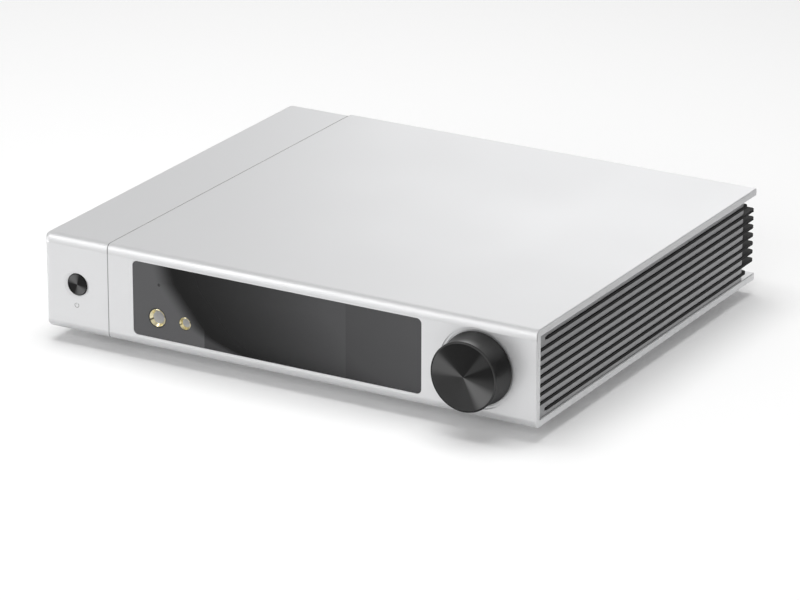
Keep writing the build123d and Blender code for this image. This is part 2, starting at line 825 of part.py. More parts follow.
with BuildPart() as encoder_shaft:
    flatted_bar(shaft_radius, shaft_flat, shaft_y_span)
encoder_shaft.part.label = "encoder_shaft"
export_step(encoder_shaft.part, "parts/encoder_shaft.step")

knob_front_y = front_y - knob_projection
knob_back_y = front_y + knob_sink
cove_start = (knob_front_y + knob_rim_width + knob_undercut, mid_z + knob_waist_radius)
cove_end = (knob_back_y - knob_skirt_width, mid_z + knob_skirt_radius)
cove_middle = (
    (cove_start[0] + cove_end[0]) / 2,
    (cove_start[1] + cove_end[1]) / 2 - knob_cove_rise,
)
with BuildPart() as volume_knob:
    with BuildSketch(Plane.YZ.offset(knob_x)):
        with BuildLine():
            Polyline(
                (knob_back_y, mid_z),
                (knob_front_y, mid_z),
                (knob_front_y, mid_z + knob_face_radius - knob_bevel),
                (knob_front_y + knob_bevel_depth, mid_z + knob_face_radius),
                (knob_front_y + knob_rim_width, mid_z + knob_face_radius),
                cove_start,
            )
            ThreePointArc(cove_start, cove_middle, cove_end)
            Polyline(cove_end, (knob_back_y, mid_z + knob_skirt_radius), (knob_back_y, mid_z))
        make_face()
    revolve(axis=Axis((knob_x, 0, mid_z), (0, 1, 0)))
    rod(knob_cavity_radius, (knob_cavity_y, knob_back_y + overrun), knob_x, mid_z, mode=Mode.SUBTRACT)
    flatted_bar(shaft_radius + seat_gap, shaft_flat + seat_gap,
                (shaft_y_span[0] - seat_gap, knob_cavity_y + overrun), mode=Mode.SUBTRACT)
    post(grub_radius + seat_gap, (mid_z - knob_skirt_radius - overrun, mid_z - shaft_flat), knob_x, grub_y,
         mode=Mode.SUBTRACT)
volume_knob.part.label = "volume_knob"
export_step(volume_knob.part, "parts/volume_knob.step")

with BuildPart() as knob_grub_screw:
    grub_length = (knob_waist_radius - shaft_flat) * grub_depth_share
    post(grub_radius, (mid_z - shaft_flat - grub_length, mid_z - shaft_flat - seat_gap), knob_x, grub_y)
knob_grub_screw.part.label = "knob_grub_screw"
export_step(knob_grub_screw.part, "parts/knob_grub_screw.step")

# Boards on hexagonal standoffs
main_board_x_span = (seam_x + board_side_margin, wall_inner_x - board_side_margin)
main_board_y_span = (front_y + board_front_setback, panel_front_y - slip_gap)
socket_back_y = panel_rear_y + inlet_flange
inlet_front_y = socket_back_y - inlet_depth
psu_x_span = (pod_inner_left_x + psu_side_gap, pod_inner_right_x - psu_side_gap)
psu_y_span = (front_y + psu_front_setback, inlet_front_y - pin_tail - psu_rear_gap)

main_standoff_places = [
    (along(main_board_x_span, x_share), along(main_board_y_span, y_share))
    for x_share in main_standoff_x_shares
    for y_share in main_standoff_y_shares
]
psu_standoff_places = [
    (along(psu_x_span, x_share), along(psu_y_span, y_share))
    for x_share in psu_standoff_x_shares
    for y_share in psu_standoff_y_shares
]
standoff_places = main_standoff_places + psu_standoff_places

with BuildPart() as main_board:
    slab(main_board_x_span, main_board_y_span, (board_z, board_top_z))
    for x, y in main_standoff_places:
        post(small_screw_radius + slip_gap, (board_z - overrun, board_top_z + overrun), x, y,
             mode=Mode.SUBTRACT)
main_board.part.label = "main_board"
export_step(main_board.part, "parts/main_board.step")

with BuildPart() as psu_board:
    slab(psu_x_span, psu_y_span, (board_z, board_top_z))
    for x, y in psu_standoff_places:
        post(small_screw_radius + slip_gap, (board_z - overrun, board_top_z + overrun), x, y,
             mode=Mode.SUBTRACT)
psu_board.part.label = "psu_board"
export_step(psu_board.part, "parts/psu_board.step")

board_screw_length = board_thickness + board_rise * board_thread_share
with BuildPart() as board_standoffs:
    for x, y in standoff_places:
        with BuildSketch(Plane.XY.offset(floor_z)):
            with Locations((x, y)):
                RegularPolygon(standoff_flats / 2, 6, major_radius=False)
        extrude(amount=board_rise)
        post(standoff_shank_radius, (floor_z - standoff_shank, floor_z), x, y)
        post(small_screw_radius + seat_gap, (board_top_z - board_screw_length - slip_gap, board_z + overrun),
             x, y, mode=Mode.SUBTRACT)
board_standoffs.part.label = "board_standoffs"
export_step(board_standoffs.part, "parts/board_standoffs.step")

with BuildPart() as board_screws:
    for x, y in standoff_places:
        post(small_head_radius, (board_top_z, board_top_z + small_head_height), x, y)
        post(small_screw_radius, (board_top_z - board_screw_length, board_top_z), x, y)
board_screws.part.label = "board_screws"
export_step(board_screws.part, "parts/board_screws.step")

# Power supply: transformer, bulk capacitors and heat sink on their board
psu_mid_x = (psu_x_span[0] + psu_x_span[1]) / 2
core_y = along(psu_y_span, core_share)
with BuildPart() as psu_transformer:
    slab(around(psu_mid_x, core_width), around(core_y, core_depth - 2 * winding_inset),
         (board_top_z, board_top_z + core_height))
    slab(around(psu_mid_x, core_width - 2 * winding_inset), around(core_y, core_depth),
         (board_top_z + winding_inset, board_top_z + core_height - winding_inset))
psu_transformer.part.label = "psu_transformer"
export_step(psu_transformer.part, "parts/psu_transformer.step")

with BuildPart() as psu_capacitors:
    for index in range(bulk_count):
        bulk_y = along(psu_y_span, bulk_share) + (index - (bulk_count - 1) / 2) * bulk_pitch
        post(bulk_radius, (board_top_z, board_top_z + bulk_height), psu_mid_x, bulk_y)
    chamfer(psu_capacitors.edges().filter_by(GeomType.CIRCLE).group_by(Axis.Z)[-1], length=can_bevel)
psu_capacitors.part.label = "psu_capacitors"
export_step(psu_capacitors.part, "parts/psu_capacitors.step")

with BuildPart() as psu_heat_sink:
    slab((psu_x_span[0], psu_x_span[0] + sink_thickness),
         (psu_y_span[0] + sink_setback, core_y - core_depth / 2 - sink_thickness),
         (board_top_z, board_top_z + sink_height))
    slab((psu_x_span[0], psu_x_span[0] + sink_foot_width),
         (psu_y_span[0] + sink_setback, psu_y_span[0] + sink_setback + sink_thickness),
         (board_top_z, board_top_z + sink_height))
psu_heat_sink.part.label = "psu_heat_sink"
export_step(psu_heat_sink.part, "parts/psu_heat_sink.step")

# Main board pieces: processor with heat sink, converter under a shield, output filter capacitors
chip_x = along(main_board_x_span, chip_shares[0])
chip_y = along(main_board_y_span, chip_shares[1])
with BuildPart() as processor:
    slab(around(chip_x, chip_width), around(chip_y, chip_width), (board_top_z, board_top_z + chip_height))
processor.part.label = "processor"
export_step(processor.part, "parts/processor.step")

with BuildPart() as processor_heat_sink:
    chip_sink_z = board_top_z + chip_height
    slab(around(chip_x, chip_width), around(chip_y, chip_width), (chip_sink_z, chip_sink_z + chip_sink_base))
    for index in range(chip_fin_count):
        share = index / (chip_fin_count - 1)
        fin_x = along(around(chip_x, chip_width - chip_fin_thickness), share)
        slab(around(fin_x, chip_fin_thickness), around(chip_y, chip_width),
             (chip_sink_z, chip_sink_z + chip_sink_height))
processor_heat_sink.part.label = "processor_heat_sink"
export_step(processor_heat_sink.part, "parts/processor_heat_sink.step")

shield_x = along(main_board_x_span, shield_shares[0])
shield_y = along(main_board_y_span, shield_shares[1])
with BuildPart() as converter_shield:
    slab(around(shield_x, shield_width), around(shield_y, shield_depth),
         (board_top_z, board_top_z + shield_height))
    fillet(converter_shield.edges().filter_by(Axis.Z), radius=shield_wall * 2)
    slab(around(shield_x, shield_width - 2 * shield_wall), around(shield_y, shield_depth - 2 * shield_wall),
         (board_top_z - overrun, board_top_z + shield_height - shield_wall), mode=Mode.SUBTRACT)
converter_shield.part.label = "converter_shield"
export_step(converter_shield.part, "parts/converter_shield.step")

filter_x = along(main_board_x_span, filter_cap_shares[0])
filter_y = along(main_board_y_span, filter_cap_shares[1])
with BuildPart() as filter_capacitors:
    for column in range(filter_cap_columns):
        for row in range(filter_cap_rows):
            post(filter_cap_radius, (board_top_z, board_top_z + filter_cap_height),
                 filter_x + (column - (filter_cap_columns - 1) / 2) * filter_cap_pitch,
                 filter_y + (row - (filter_cap_rows - 1) / 2) * filter_cap_pitch)
    chamfer(filter_capacitors.edges().filter_by(GeomType.CIRCLE).group_by(Axis.Z)[-1], length=can_bevel)
filter_capacitors.part.label = "filter_capacitors"
export_step(filter_capacitors.part, "parts/filter_capacitors.step")

# Mains inlet: socket above, fuse drawer below, three blades through the back wall
inlet_body_height = socket_height + drawer_height + 3 * inlet_wall
inlet_top_z = mid_z + inlet_body_height / 2
socket_z = inlet_top_z - inlet_wall - socket_height / 2
drawer_z = mid_z - inlet_body_height / 2 + inlet_wall + drawer_height / 2
socket_floor_y = socket_back_y - socket_depth
pin_places = (
    (pod_mid_x - pin_spacing, socket_z - pin_stagger / 2),
    (pod_mid_x, socket_z + pin_stagger / 2),
    (pod_mid_x + pin_spacing, socket_z - pin_stagger / 2),
)
with BuildPart() as mains_inlet:
    slab(around(pod_mid_x, inlet_body_width), (inlet_front_y, panel_rear_y),
         around(mid_z, inlet_body_height))
    slab(around(pod_mid_x, inlet_body_width + 2 * inlet_flange_side), (panel_rear_y, socket_back_y),
         around(mid_z, inlet_body_height + 2 * inlet_flange_end))
    fillet(mains_inlet.edges().filter_by(Axis.Y).sort_by(Axis.Y)[-4:], radius=inlet_wall)
    with BuildSketch(Plane.XZ.offset(-socket_floor_y)) as socket_shape:
        with Locations((pod_mid_x, socket_z)):
            Rectangle(socket_width, socket_height)
        chamfer(socket_shape.vertices().group_by(Axis.Y)[-1], length=socket_corner)
    extrude(amount=-(socket_depth + overrun), mode=Mode.SUBTRACT)
    slab(around(pod_mid_x, drawer_width + 2 * drawer_gap),
         (socket_back_y - drawer_depth - slip_gap, socket_back_y + overrun),
         around(drawer_z, drawer_height + 2 * drawer_gap), mode=Mode.SUBTRACT)
    for x, z in pin_places:
        slab(around(x, pin_thickness + 2 * seat_gap), (inlet_front_y - overrun, socket_floor_y + overrun),
             around(z, pin_height + 2 * seat_gap), mode=Mode.SUBTRACT)
mains_inlet.part.label = "mains_inlet"
export_step(mains_inlet.part, "parts/mains_inlet.step")

with BuildPart() as inlet_blades:
    for x, z in pin_places:
        slab(around(x, pin_thickness), (inlet_front_y - pin_tail, socket_back_y - pin_setback),
             around(z, pin_height))
inlet_blades.part.label = "inlet_blades"
export_step(inlet_blades.part, "parts/inlet_blades.step")

drawer_front_y = socket_back_y - drawer_depth
fuse_y = drawer_front_y + drawer_wall + fuse_radius + fuse_gap
fuse_z = drawer_z - drawer_height / 2 + drawer_wall + fuse_radius
with BuildPart() as fuse_drawer:
    slab(around(pod_mid_x, drawer_width), (drawer_front_y, socket_back_y), around(drawer_z, drawer_height))
    slab(around(pod_mid_x, drawer_width / 2), (socket_back_y - fuse_overlap, socket_back_y + drawer_grip),
         (drawer_z - drawer_height / 2, drawer_z - drawer_height / 2 + drawer_grip))
    slab(around(pod_mid_x, fuse_length + 2 * fuse_gap),
         around(fuse_y, 2 * (fuse_radius + fuse_gap)),
         (fuse_z - fuse_radius, drawer_z + drawer_height), mode=Mode.SUBTRACT)
fuse_drawer.part.label = "fuse_drawer"
export_step(fuse_drawer.part, "parts/fuse_drawer.step")

with BuildPart() as mains_fuse:
    with Locations((pod_mid_x, fuse_y, fuse_z)):
        Cylinder(fuse_radius - fuse_gap, fuse_length, rotation=(0, 90, 0))
    with Locations((pod_mid_x - (fuse_length - fuse_cap_length) / 2, fuse_y, fuse_z),
                   (pod_mid_x + (fuse_length - fuse_cap_length) / 2, fuse_y, fuse_z)):
        Cylinder(fuse_radius, fuse_cap_length, rotation=(0, 90, 0))
mains_fuse.part.label = "mains_fuse"
export_step(mains_fuse.part, "parts/mains_fuse.step")

# Rear sockets on the main board and the rear panel
phono_z = board_top_z + phono_body_width / 2
trigger_z = board_top_z + trigger_height / 2
optical_z = board_top_z + optical_height / 2
ethernet_opening_z = board_top_z + (ethernet_height - ethernet_latch_height) / 2 + ethernet_latch_height

with BuildPart() as ethernet_socket:
    slab(around(ethernet_x, ethernet_width), (socket_face_y - ethernet_depth, socket_face_y),
         (board_top_z, board_top_z + ethernet_height))
    slab(around(ethernet_x, ethernet_opening_width),
         (socket_face_y - ethernet_opening_depth, socket_face_y + overrun),
         around(ethernet_opening_z, ethernet_opening_height), mode=Mode.SUBTRACT)
    slab(around(ethernet_x, ethernet_latch_width),
         (socket_face_y - ethernet_opening_depth, socket_face_y + overrun),
         (ethernet_opening_z - ethernet_opening_height / 2 - ethernet_latch_height / 2,
          ethernet_opening_z), mode=Mode.SUBTRACT)
ethernet_socket.part.label = "ethernet_socket"
export_step(ethernet_socket.part, "parts/ethernet_socket.step")

usb_pair_z = board_top_z + usb_height / 2
with BuildPart() as usb_sockets:
    slab(around(usb_pair_x, usb_width), (socket_face_y - usb_depth, socket_face_y),
         (board_top_z, board_top_z + usb_height))
    for z in around(usb_pair_z, usb_row_pitch):
        slab(around(usb_pair_x, usb_opening_width),
             (socket_face_y - usb_opening_depth, socket_face_y + overrun),
             around(z, usb_opening_height), mode=Mode.SUBTRACT)
        slab(around(usb_pair_x, usb_tongue_width),
             (socket_face_y - usb_opening_depth - fuse_overlap, socket_face_y - socket_stand),
             around(z + usb_tongue_height / 2, usb_tongue_height))
usb_sockets.part.label = "usb_sockets"
export_step(usb_sockets.part, "parts/usb_sockets.step")

usb_square_z = board_top_z + usb_square_height / 2
with BuildPart() as usb_square_socket:
    slab(around(usb_square_x, usb_square_width), (socket_face_y - usb_square_depth, socket_face_y),
         (board_top_z, board_top_z + usb_square_height))
    slab(around(usb_square_x, usb_square_opening),
         (socket_face_y - usb_square_opening_depth, socket_face_y + overrun),
         around(usb_square_z, usb_square_opening), mode=Mode.SUBTRACT)
    slab(around(usb_square_x, usb_square_tongue_width),
         (socket_face_y - usb_square_opening_depth - fuse_overlap, socket_face_y - socket_stand),
         around(usb_square_z, usb_square_tongue_height))
usb_square_socket.part.label = "usb_square_socket"
export_step(usb_square_socket.part, "parts/usb_square_socket.step")

shutter_y = socket_face_y - shutter_setback - shutter_barrel_radius
shutter_z = optical_z + optical_opening_height / 2 - shutter_barrel_radius - shutter_gap
shutter_half_width = optical_opening_width / 2 - shutter_gap
with BuildPart() as optical_socket:
    slab(around(optical_x, optical_width), (socket_face_y - optical_depth, socket_face_y),
         (board_top_z, board_top_z + optical_height))
    slab(around(optical_x, optical_opening_width),
         (socket_face_y - optical_opening_depth, socket_face_y + overrun),
         around(optical_z, optical_opening_height), mode=Mode.SUBTRACT)
    with Locations((optical_x, shutter_y, shutter_z)):
        Cylinder(shutter_pin_radius + running_gap, 2 * (shutter_half_width + shutter_pin_length + slip_gap),
                 rotation=(0, 90, 0), mode=Mode.SUBTRACT)
optical_socket.part.label = "optical_socket"
export_step(optical_socket.part, "parts/optical_socket.step")

with BuildPart() as optical_shutter:
    slab((optical_x - shutter_half_width, optical_x + shutter_half_width),
         around(shutter_y, shutter_thickness),
         (optical_z - optical_opening_height / 2 + shutter_gap, shutter_z))
    with Locations((optical_x, shutter_y, shutter_z)):
        Cylinder(shutter_barrel_radius, 2 * shutter_half_width, rotation=(0, 90, 0))
        Cylinder(shutter_pin_radius, 2 * (shutter_half_width + shutter_pin_length), rotation=(0, 90, 0))
optical_shutter.part.label = "optical_shutter"
export_step(optical_shutter.part, "parts/optical_shutter.step")

with BuildPart() as trigger_socket:
    slab(around(trigger_x, trigger_width), (panel_front_y - trigger_depth, panel_front_y),
         (board_top_z, board_top_z + trigger_height))
    rod(trigger_collar_radius, (panel_front_y - fuse_overlap, socket_face_y), trigger_x, trigger_z)
    rod(trigger_bore_radius, (panel_front_y - trigger_depth / 2, socket_face_y + overrun),
        trigger_x, trigger_z, mode=Mode.SUBTRACT)
trigger_socket.part.label = "trigger_socket"
export_step(trigger_socket.part, "parts/trigger_socket.step")

with BuildPart() as phono_sockets:
    for x in phono_xs:
        slab(around(x, phono_body_width), (panel_front_y - phono_body_depth, panel_front_y),
             around(phono_z, phono_body_width))
        rod(phono_sleeve_radius, (panel_front_y - fuse_overlap, panel_rear_y + phono_sleeve_length),
            x, phono_z)
        rod(phono_collar_radius, (panel_rear_y, panel_rear_y + phono_collar), x, phono_z)
        rod(phono_insert_radius + seat_gap, (panel_front_y, panel_rear_y + phono_sleeve_length + overrun),
            x, phono_z, mode=Mode.SUBTRACT)
phono_sockets.part.label = "phono_sockets"
export_step(phono_sockets.part, "parts/phono_sockets.step")

with BuildPart() as phono_inserts:
    for x in phono_xs:
        rod(phono_insert_radius, (panel_front_y, panel_rear_y + phono_sleeve_length - socket_stand),
            x, phono_z)
        rod(phono_hole_radius, (panel_rear_y, panel_rear_y + phono_sleeve_length + overrun), x, phono_z,
            mode=Mode.SUBTRACT)
phono_inserts.part.label = "phono_inserts"
export_step(phono_inserts.part, "parts/phono_inserts.step")

balanced_face_y = panel_rear_y + balanced_flange
balanced_floor_y = balanced_face_y - balanced_bore_depth
balanced_screw_offsets = (
    (balanced_screw_inset - balanced_flange_width / 2, balanced_flange_height / 2 - balanced_screw_inset),
    (balanced_flange_width / 2 - balanced_screw_inset, balanced_screw_inset - balanced_flange_height / 2),
)
balanced_pin_offsets = [
    (balanced_pin_circle, balanced_pin_circle * balanced_pin_rise_share),
    (-balanced_pin_circle, balanced_pin_circle * balanced_pin_rise_share),
    (0, -balanced_pin_circle),
]
with BuildPart() as balanced_outputs:
    for x in balanced_xs:
        with BuildSketch(Plane.XZ.offset(-panel_rear_y)):
            with Locations((x, mid_z)):
                RectangleRounded(balanced_flange_width, balanced_flange_height, balanced_corner)
        extrude(amount=-balanced_flange)
        rod(balanced_barrel_radius, (balanced_face_y - balanced_barrel_depth, panel_rear_y + fuse_overlap),
            x, mid_z)
        rod(balanced_bore_radius, (balanced_floor_y, balanced_face_y + overrun), x, mid_z,
            mode=Mode.SUBTRACT)
        for shift_x, shift_z in balanced_pin_offsets:
            rod(balanced_pin_radius + seat_gap,
                (balanced_face_y - balanced_barrel_depth - overrun, balanced_floor_y + overrun),
                x + shift_x, mid_z + shift_z, mode=Mode.SUBTRACT)
        for shift_x, shift_z in balanced_screw_offsets:
            rod(screw_radius + slip_gap, (panel_rear_y - overrun, balanced_face_y + overrun),
                x + shift_x, mid_z + shift_z, mode=Mode.SUBTRACT)
balanced_outputs.part.label = "balanced_outputs"
export_step(balanced_outputs.part, "parts/balanced_outputs.step")

with BuildPart() as balanced_pins:
    for x in balanced_xs:
        for shift_x, shift_z in balanced_pin_offsets:
            rod(balanced_pin_radius,
                (balanced_face_y - balanced_barrel_depth - balanced_pin_tail,
                 balanced_face_y - balanced_pin_setback),
                x + shift_x, mid_z + shift_z)
balanced_pins.part.label = "balanced_pins"
export_step(balanced_pins.part, "parts/balanced_pins.step")

with BuildPart() as balanced_screws:
    for x in balanced_xs:
        for shift_x, shift_z in balanced_screw_offsets:
            screw(x + shift_x, balanced_face_y, mid_z + shift_z, balanced_flange + panel_thickness,
                  screw_radius, small_head_radius, small_head_height)
balanced_screws.part.label = "balanced_screws"
export_step(balanced_screws.part, "parts/balanced_screws.step")

# Rear panel: one black plate behind the boards, which ends beside the fins
panel_y_span = (panel_front_y, panel_rear_y)
panel_cut_y_span = (panel_front_y - overrun, panel_rear_y + overrun)
with BuildPart() as rear_panel:
    slab((pod_inner_left_x + slip_gap, fin_inner_x - slip_gap), panel_y_span,
         (floor_z + slip_gap, roof_z - slip_gap))
    slab(around(pod_mid_x, inlet_body_width + 2 * socket_gap), panel_cut_y_span,
         around(mid_z, inlet_body_height + 2 * socket_gap), mode=Mode.SUBTRACT)
    slab(around(ethernet_x, ethernet_width + 2 * socket_gap), panel_cut_y_span,
         (board_top_z - socket_gap, board_top_z + ethernet_height + socket_gap), mode=Mode.SUBTRACT)
    slab(around(usb_pair_x, usb_width + 2 * socket_gap), panel_cut_y_span,
         (board_top_z - socket_gap, board_top_z + usb_height + socket_gap), mode=Mode.SUBTRACT)
    slab(around(usb_square_x, usb_square_width + 2 * socket_gap), panel_cut_y_span,
         (board_top_z - socket_gap, board_top_z + usb_square_height + socket_gap), mode=Mode.SUBTRACT)
    slab(around(optical_x, optical_width + 2 * socket_gap), panel_cut_y_span,
         (board_top_z - socket_gap, board_top_z + optical_height + socket_gap), mode=Mode.SUBTRACT)
    rod(trigger_collar_radius + socket_gap, panel_cut_y_span, trigger_x, trigger_z, mode=Mode.SUBTRACT)
    for x in phono_xs:
        rod(phono_sleeve_radius + socket_gap, panel_cut_y_span, x, phono_z, mode=Mode.SUBTRACT)
    for x in balanced_xs:
        rod(balanced_barrel_radius + socket_gap, panel_cut_y_span, x, mid_z, mode=Mode.SUBTRACT)
        for shift_x, shift_z in balanced_screw_offsets:
            rod(screw_radius + seat_gap, panel_cut_y_span, x + shift_x, mid_z + shift_z, mode=Mode.SUBTRACT)
    for x in rear_screw_xs:
        for z in (low_screw_z, high_screw_z):
            rod(screw_radius + slip_gap, panel_cut_y_span, x, z, mode=Mode.SUBTRACT)
rear_panel.part.label = "rear_panel"
export_step(rear_panel.part, "parts/rear_panel.step")

with BuildPart() as rear_panel_screws:
    for x in rear_screw_xs:
        for z in (low_screw_z, high_screw_z):
            screw(x, panel_rear_y, z, panel_thickness + screw_engagement - slip_gap, screw_radius,
                  screw_head_radius, screw_head_height)
rear_panel_screws.part.label = "rear_panel_screws"
export_step(rear_panel_screws.part, "parts/rear_panel_screws.step")

# Main shell: one milled wrap of top, front and bottom plates
with BuildPart() as main_shell:
    with BuildSketch(Plane.YZ.offset(seam_x)) as shell_section:
        with Locations((mid_y, mid_z)):
            Rectangle(shell_depth, shell_height)
        fillet(shell_section.vertices().group_by(Axis.X)[0], radius=edge_radius)
        with Locations(((inner_front_y + rear_y + overrun) / 2, mid_z)):
            Rectangle(rear_y + overrun - inner_front_y, roof_z - floor_z, mode=Mode.SUBTRACT)
    extrude(amount=right_x - seam_x)
    end_faces = main_shell.faces().filter_by(Axis.X).sort_by(Axis.X)
    chamfer(end_faces[-1].edges(), length=end_chamfer)
    chamfer(main_shell.faces().filter_by(Axis.X).sort_by(Axis.X)[0].edges(), length=seam_chamfer)
    for x in main_boss_xs:
        slab(around(x, boss_width), boss_y_span, (floor_z, floor_z + boss_height))
        slab(around(x, boss_width), boss_y_span, (roof_z - boss_height, roof_z))
        for z in (low_screw_z, high_screw_z):
            rod(screw_radius + seat_gap, (panel_front_y - screw_engagement, panel_front_y + overrun),
                x, z, mode=Mode.SUBTRACT)
    for y in seam_screw_ys:
        slab(seam_boss_x_span, around(y, boss_width), (floor_z, floor_z + boss_height))
        slab(seam_boss_x_span, around(y, boss_width), (roof_z - boss_height, roof_z))
        with Locations((seam_x, y, low_screw_z), (seam_x, y, high_screw_z)):
            Cylinder(screw_radius + seat_gap, 2 * screw_engagement, rotation=(0, 90, 0),
                     mode=Mode.SUBTRACT)
    with BuildSketch(across(0)):
        with Locations((display_x, mid_z)):
            RectangleRounded(display_width + 2 * slip_gap, display_height + 2 * slip_gap,
                             display_corner + slip_gap)
    extrude(amount=-pocket_depth, mode=Mode.SUBTRACT)
    with BuildSketch(across(0)):
        with Locations((display_x, mid_z)):
            RectangleRounded(window_width, window_height, display_corner)
    extrude(amount=-(plate + overrun), mode=Mode.SUBTRACT)
    for x in lcd_post_xs + front_board_post_xs:
        for z in post_zs:
            rod(post_radius, post_y_span, x, z)
            rod(small_screw_radius + seat_gap, (front_y + plate, front_y + lcd_back + overrun),
                x, z, mode=Mode.SUBTRACT)
    turned(knob_x, mid_z, [
        (0, front_y - overrun),
        (well_step_radius, front_y - overrun),
        (well_step_radius, front_y + well_step_depth),
        (well_radius, front_y + well_step_depth),
        (well_radius, front_y + well_depth),
        (0, front_y + well_depth),
    ], mode=Mode.SUBTRACT)
    rod(bushing_radius + slip_gap, (front_y, inner_front_y + overrun), knob_x, mid_z,
        mode=Mode.SUBTRACT)
    for y in wall_screw_ys:
        post(screw_radius + slip_gap, (base_z - overrun, floor_z + overrun), wall_screw_x, y,
             mode=Mode.SUBTRACT)
        post(screw_head_radius + slip_gap, (base_z - overrun, base_z + screw_head_height + slip_gap),
             wall_screw_x, y, mode=Mode.SUBTRACT)
    for y in foot_ys:
        post(screw_radius + seat_gap, (base_z - overrun, base_z + foot_screw_depth), foot_xs[1], y,
             mode=Mode.SUBTRACT)
    for x, y in main_standoff_places:
        post(standoff_shank_radius + seat_gap, (floor_z - standoff_shank - slip_gap, floor_z + overrun),
             x, y, mode=Mode.SUBTRACT)
main_shell.part.label = "main_shell"
export_step(main_shell.part, "parts/main_shell.step")

# Power pod: a milled box with rounded corners, open only at the back
with BuildPart() as power_pod:
    with BuildSketch(Plane.XY.offset(base_z)) as pod_plan:
        with Locations(((left_x + seam_x) / 2, mid_y)):
            Rectangle(pod_width, shell_depth)
        fillet(pod_plan.vertices().group_by(Axis.X)[0], radius=pod_corner_radius)
    extrude(amount=shell_height)
    rim = power_pod.faces().filter_by(Axis.Z).edges()
    fillet([edge for edge in rim if edge.center().X < seam_x - edge_radius], radius=edge_radius)
    chamfer(power_pod.faces().filter_by(Axis.X).sort_by(Axis.X)[-1].edges(), length=seam_chamfer)
    slab((pod_inner_left_x, pod_inner_right_x), (inner_front_y, rear_y + overrun), (floor_z, roof_z),
         mode=Mode.SUBTRACT)
    slab((pod_inner_right_x - overrun, seam_x + overrun), (panel_front_y, rear_y + overrun),
         (floor_z, roof_z), mode=Mode.SUBTRACT)
    slab((pod_inner_right_x - overrun, seam_x + overrun),
         around(rear_y - wire_window_setback, wire_window_depth), around(mid_z, wire_window_height),
         mode=Mode.SUBTRACT)
    slab(around(pod_boss_x, boss_width), boss_y_span, (floor_z, floor_z + boss_height))
    slab(around(pod_boss_x, boss_width), boss_y_span, (roof_z - boss_height, roof_z))
    for z in (low_screw_z, high_screw_z):
        rod(screw_radius + seat_gap, (panel_front_y - screw_engagement, panel_front_y + overrun),
            pod_boss_x, z, mode=Mode.SUBTRACT)
    with Locations(*[(pod_inner_right_x, y, z) for y in seam_screw_ys for z in (low_screw_z, high_screw_z)]):
        Cylinder(screw_radius + slip_gap, 2 * (partition + overrun), rotation=(0, 90, 0),
                 mode=Mode.SUBTRACT)
    turned(button_x, mid_z, [
        (0, front_y - overrun),
        (button_ring_radius, front_y - overrun),
        (button_ring_radius, front_y),
        (button_radius + button_gap, front_y + button_ring_depth),
        (button_radius + button_gap, inner_front_y + overrun),
        (0, inner_front_y + overrun),
    ], mode=Mode.SUBTRACT)
    for y in foot_ys:
        post(screw_radius + seat_gap, (base_z - overrun, base_z + foot_screw_depth), foot_xs[0], y,
             mode=Mode.SUBTRACT)
    for x, y in psu_standoff_places:
        post(standoff_shank_radius + seat_gap, (floor_z - standoff_shank - slip_gap, floor_z + overrun),
             x, y, mode=Mode.SUBTRACT)
    for z in button_post_zs:
        rod(button_post_radius, (inner_front_y - fuse_overlap, button_board_y_span[0]), button_x, z)
        rod(small_screw_radius + seat_gap,
            (button_board_y_span[0] - small_screw_length, button_board_y_span[0] + overrun),
            button_x, z, mode=Mode.SUBTRACT)
power_pod.part.label = "power_pod"
export_step(power_pod.part, "parts/power_pod.step")
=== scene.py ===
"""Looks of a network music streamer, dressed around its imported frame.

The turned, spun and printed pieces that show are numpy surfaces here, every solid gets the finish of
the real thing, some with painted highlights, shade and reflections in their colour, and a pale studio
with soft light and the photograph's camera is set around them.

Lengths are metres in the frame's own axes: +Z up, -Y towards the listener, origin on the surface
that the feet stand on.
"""

from __future__ import annotations

import json
import logging
import math
from collections.abc import Sequence
from dataclasses import dataclass, replace
from enum import Enum
from functools import reduce

import bpy
import numpy as np
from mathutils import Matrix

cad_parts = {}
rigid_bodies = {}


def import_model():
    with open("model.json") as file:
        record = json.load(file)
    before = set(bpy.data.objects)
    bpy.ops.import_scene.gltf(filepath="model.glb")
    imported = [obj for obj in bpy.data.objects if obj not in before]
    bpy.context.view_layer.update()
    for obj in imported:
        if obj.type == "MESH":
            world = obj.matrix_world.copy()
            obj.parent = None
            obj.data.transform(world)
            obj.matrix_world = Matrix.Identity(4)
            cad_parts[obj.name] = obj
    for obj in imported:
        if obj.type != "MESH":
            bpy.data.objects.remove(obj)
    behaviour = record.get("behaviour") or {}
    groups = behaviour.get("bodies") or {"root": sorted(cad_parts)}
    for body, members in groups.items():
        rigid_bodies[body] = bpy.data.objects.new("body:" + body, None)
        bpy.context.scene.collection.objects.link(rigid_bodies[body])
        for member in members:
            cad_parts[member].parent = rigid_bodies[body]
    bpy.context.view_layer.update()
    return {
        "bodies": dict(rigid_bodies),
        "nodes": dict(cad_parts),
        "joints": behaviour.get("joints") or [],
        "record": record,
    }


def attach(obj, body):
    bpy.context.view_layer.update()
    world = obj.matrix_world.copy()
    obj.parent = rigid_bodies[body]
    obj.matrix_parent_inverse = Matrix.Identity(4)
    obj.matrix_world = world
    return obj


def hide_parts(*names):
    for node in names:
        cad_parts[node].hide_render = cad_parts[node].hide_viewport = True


LOG = logging.getLogger("streamer")
MM = 0.001
FAR = 1.0
CHASSIS = "chassis"
FRONT_FACE = -116.85 * MM
CASE_TOP = 60.0 * MM
CASE_FOOT = 8.0 * MM
# Painted shade of the seam's gap, a dark line: its half width, where it fades out, and its tone.
SEAM_SHADE_HALF = 0.26 * MM
SEAM_SHADE_FADE = 1.3
SEAM_SHADE_TONE = 0.55
COAT_ROUGHNESS = 0.08
QUARTER_TURN = 0.25
CREASE = 32.0

Points = np.ndarray
Colour = tuple[float, float, float]
Place = tuple[float, float, float]
Span = tuple[float, float]
Socket = bpy.types.NodeSocket
Mesh = tuple[Points, list[list[int]]]


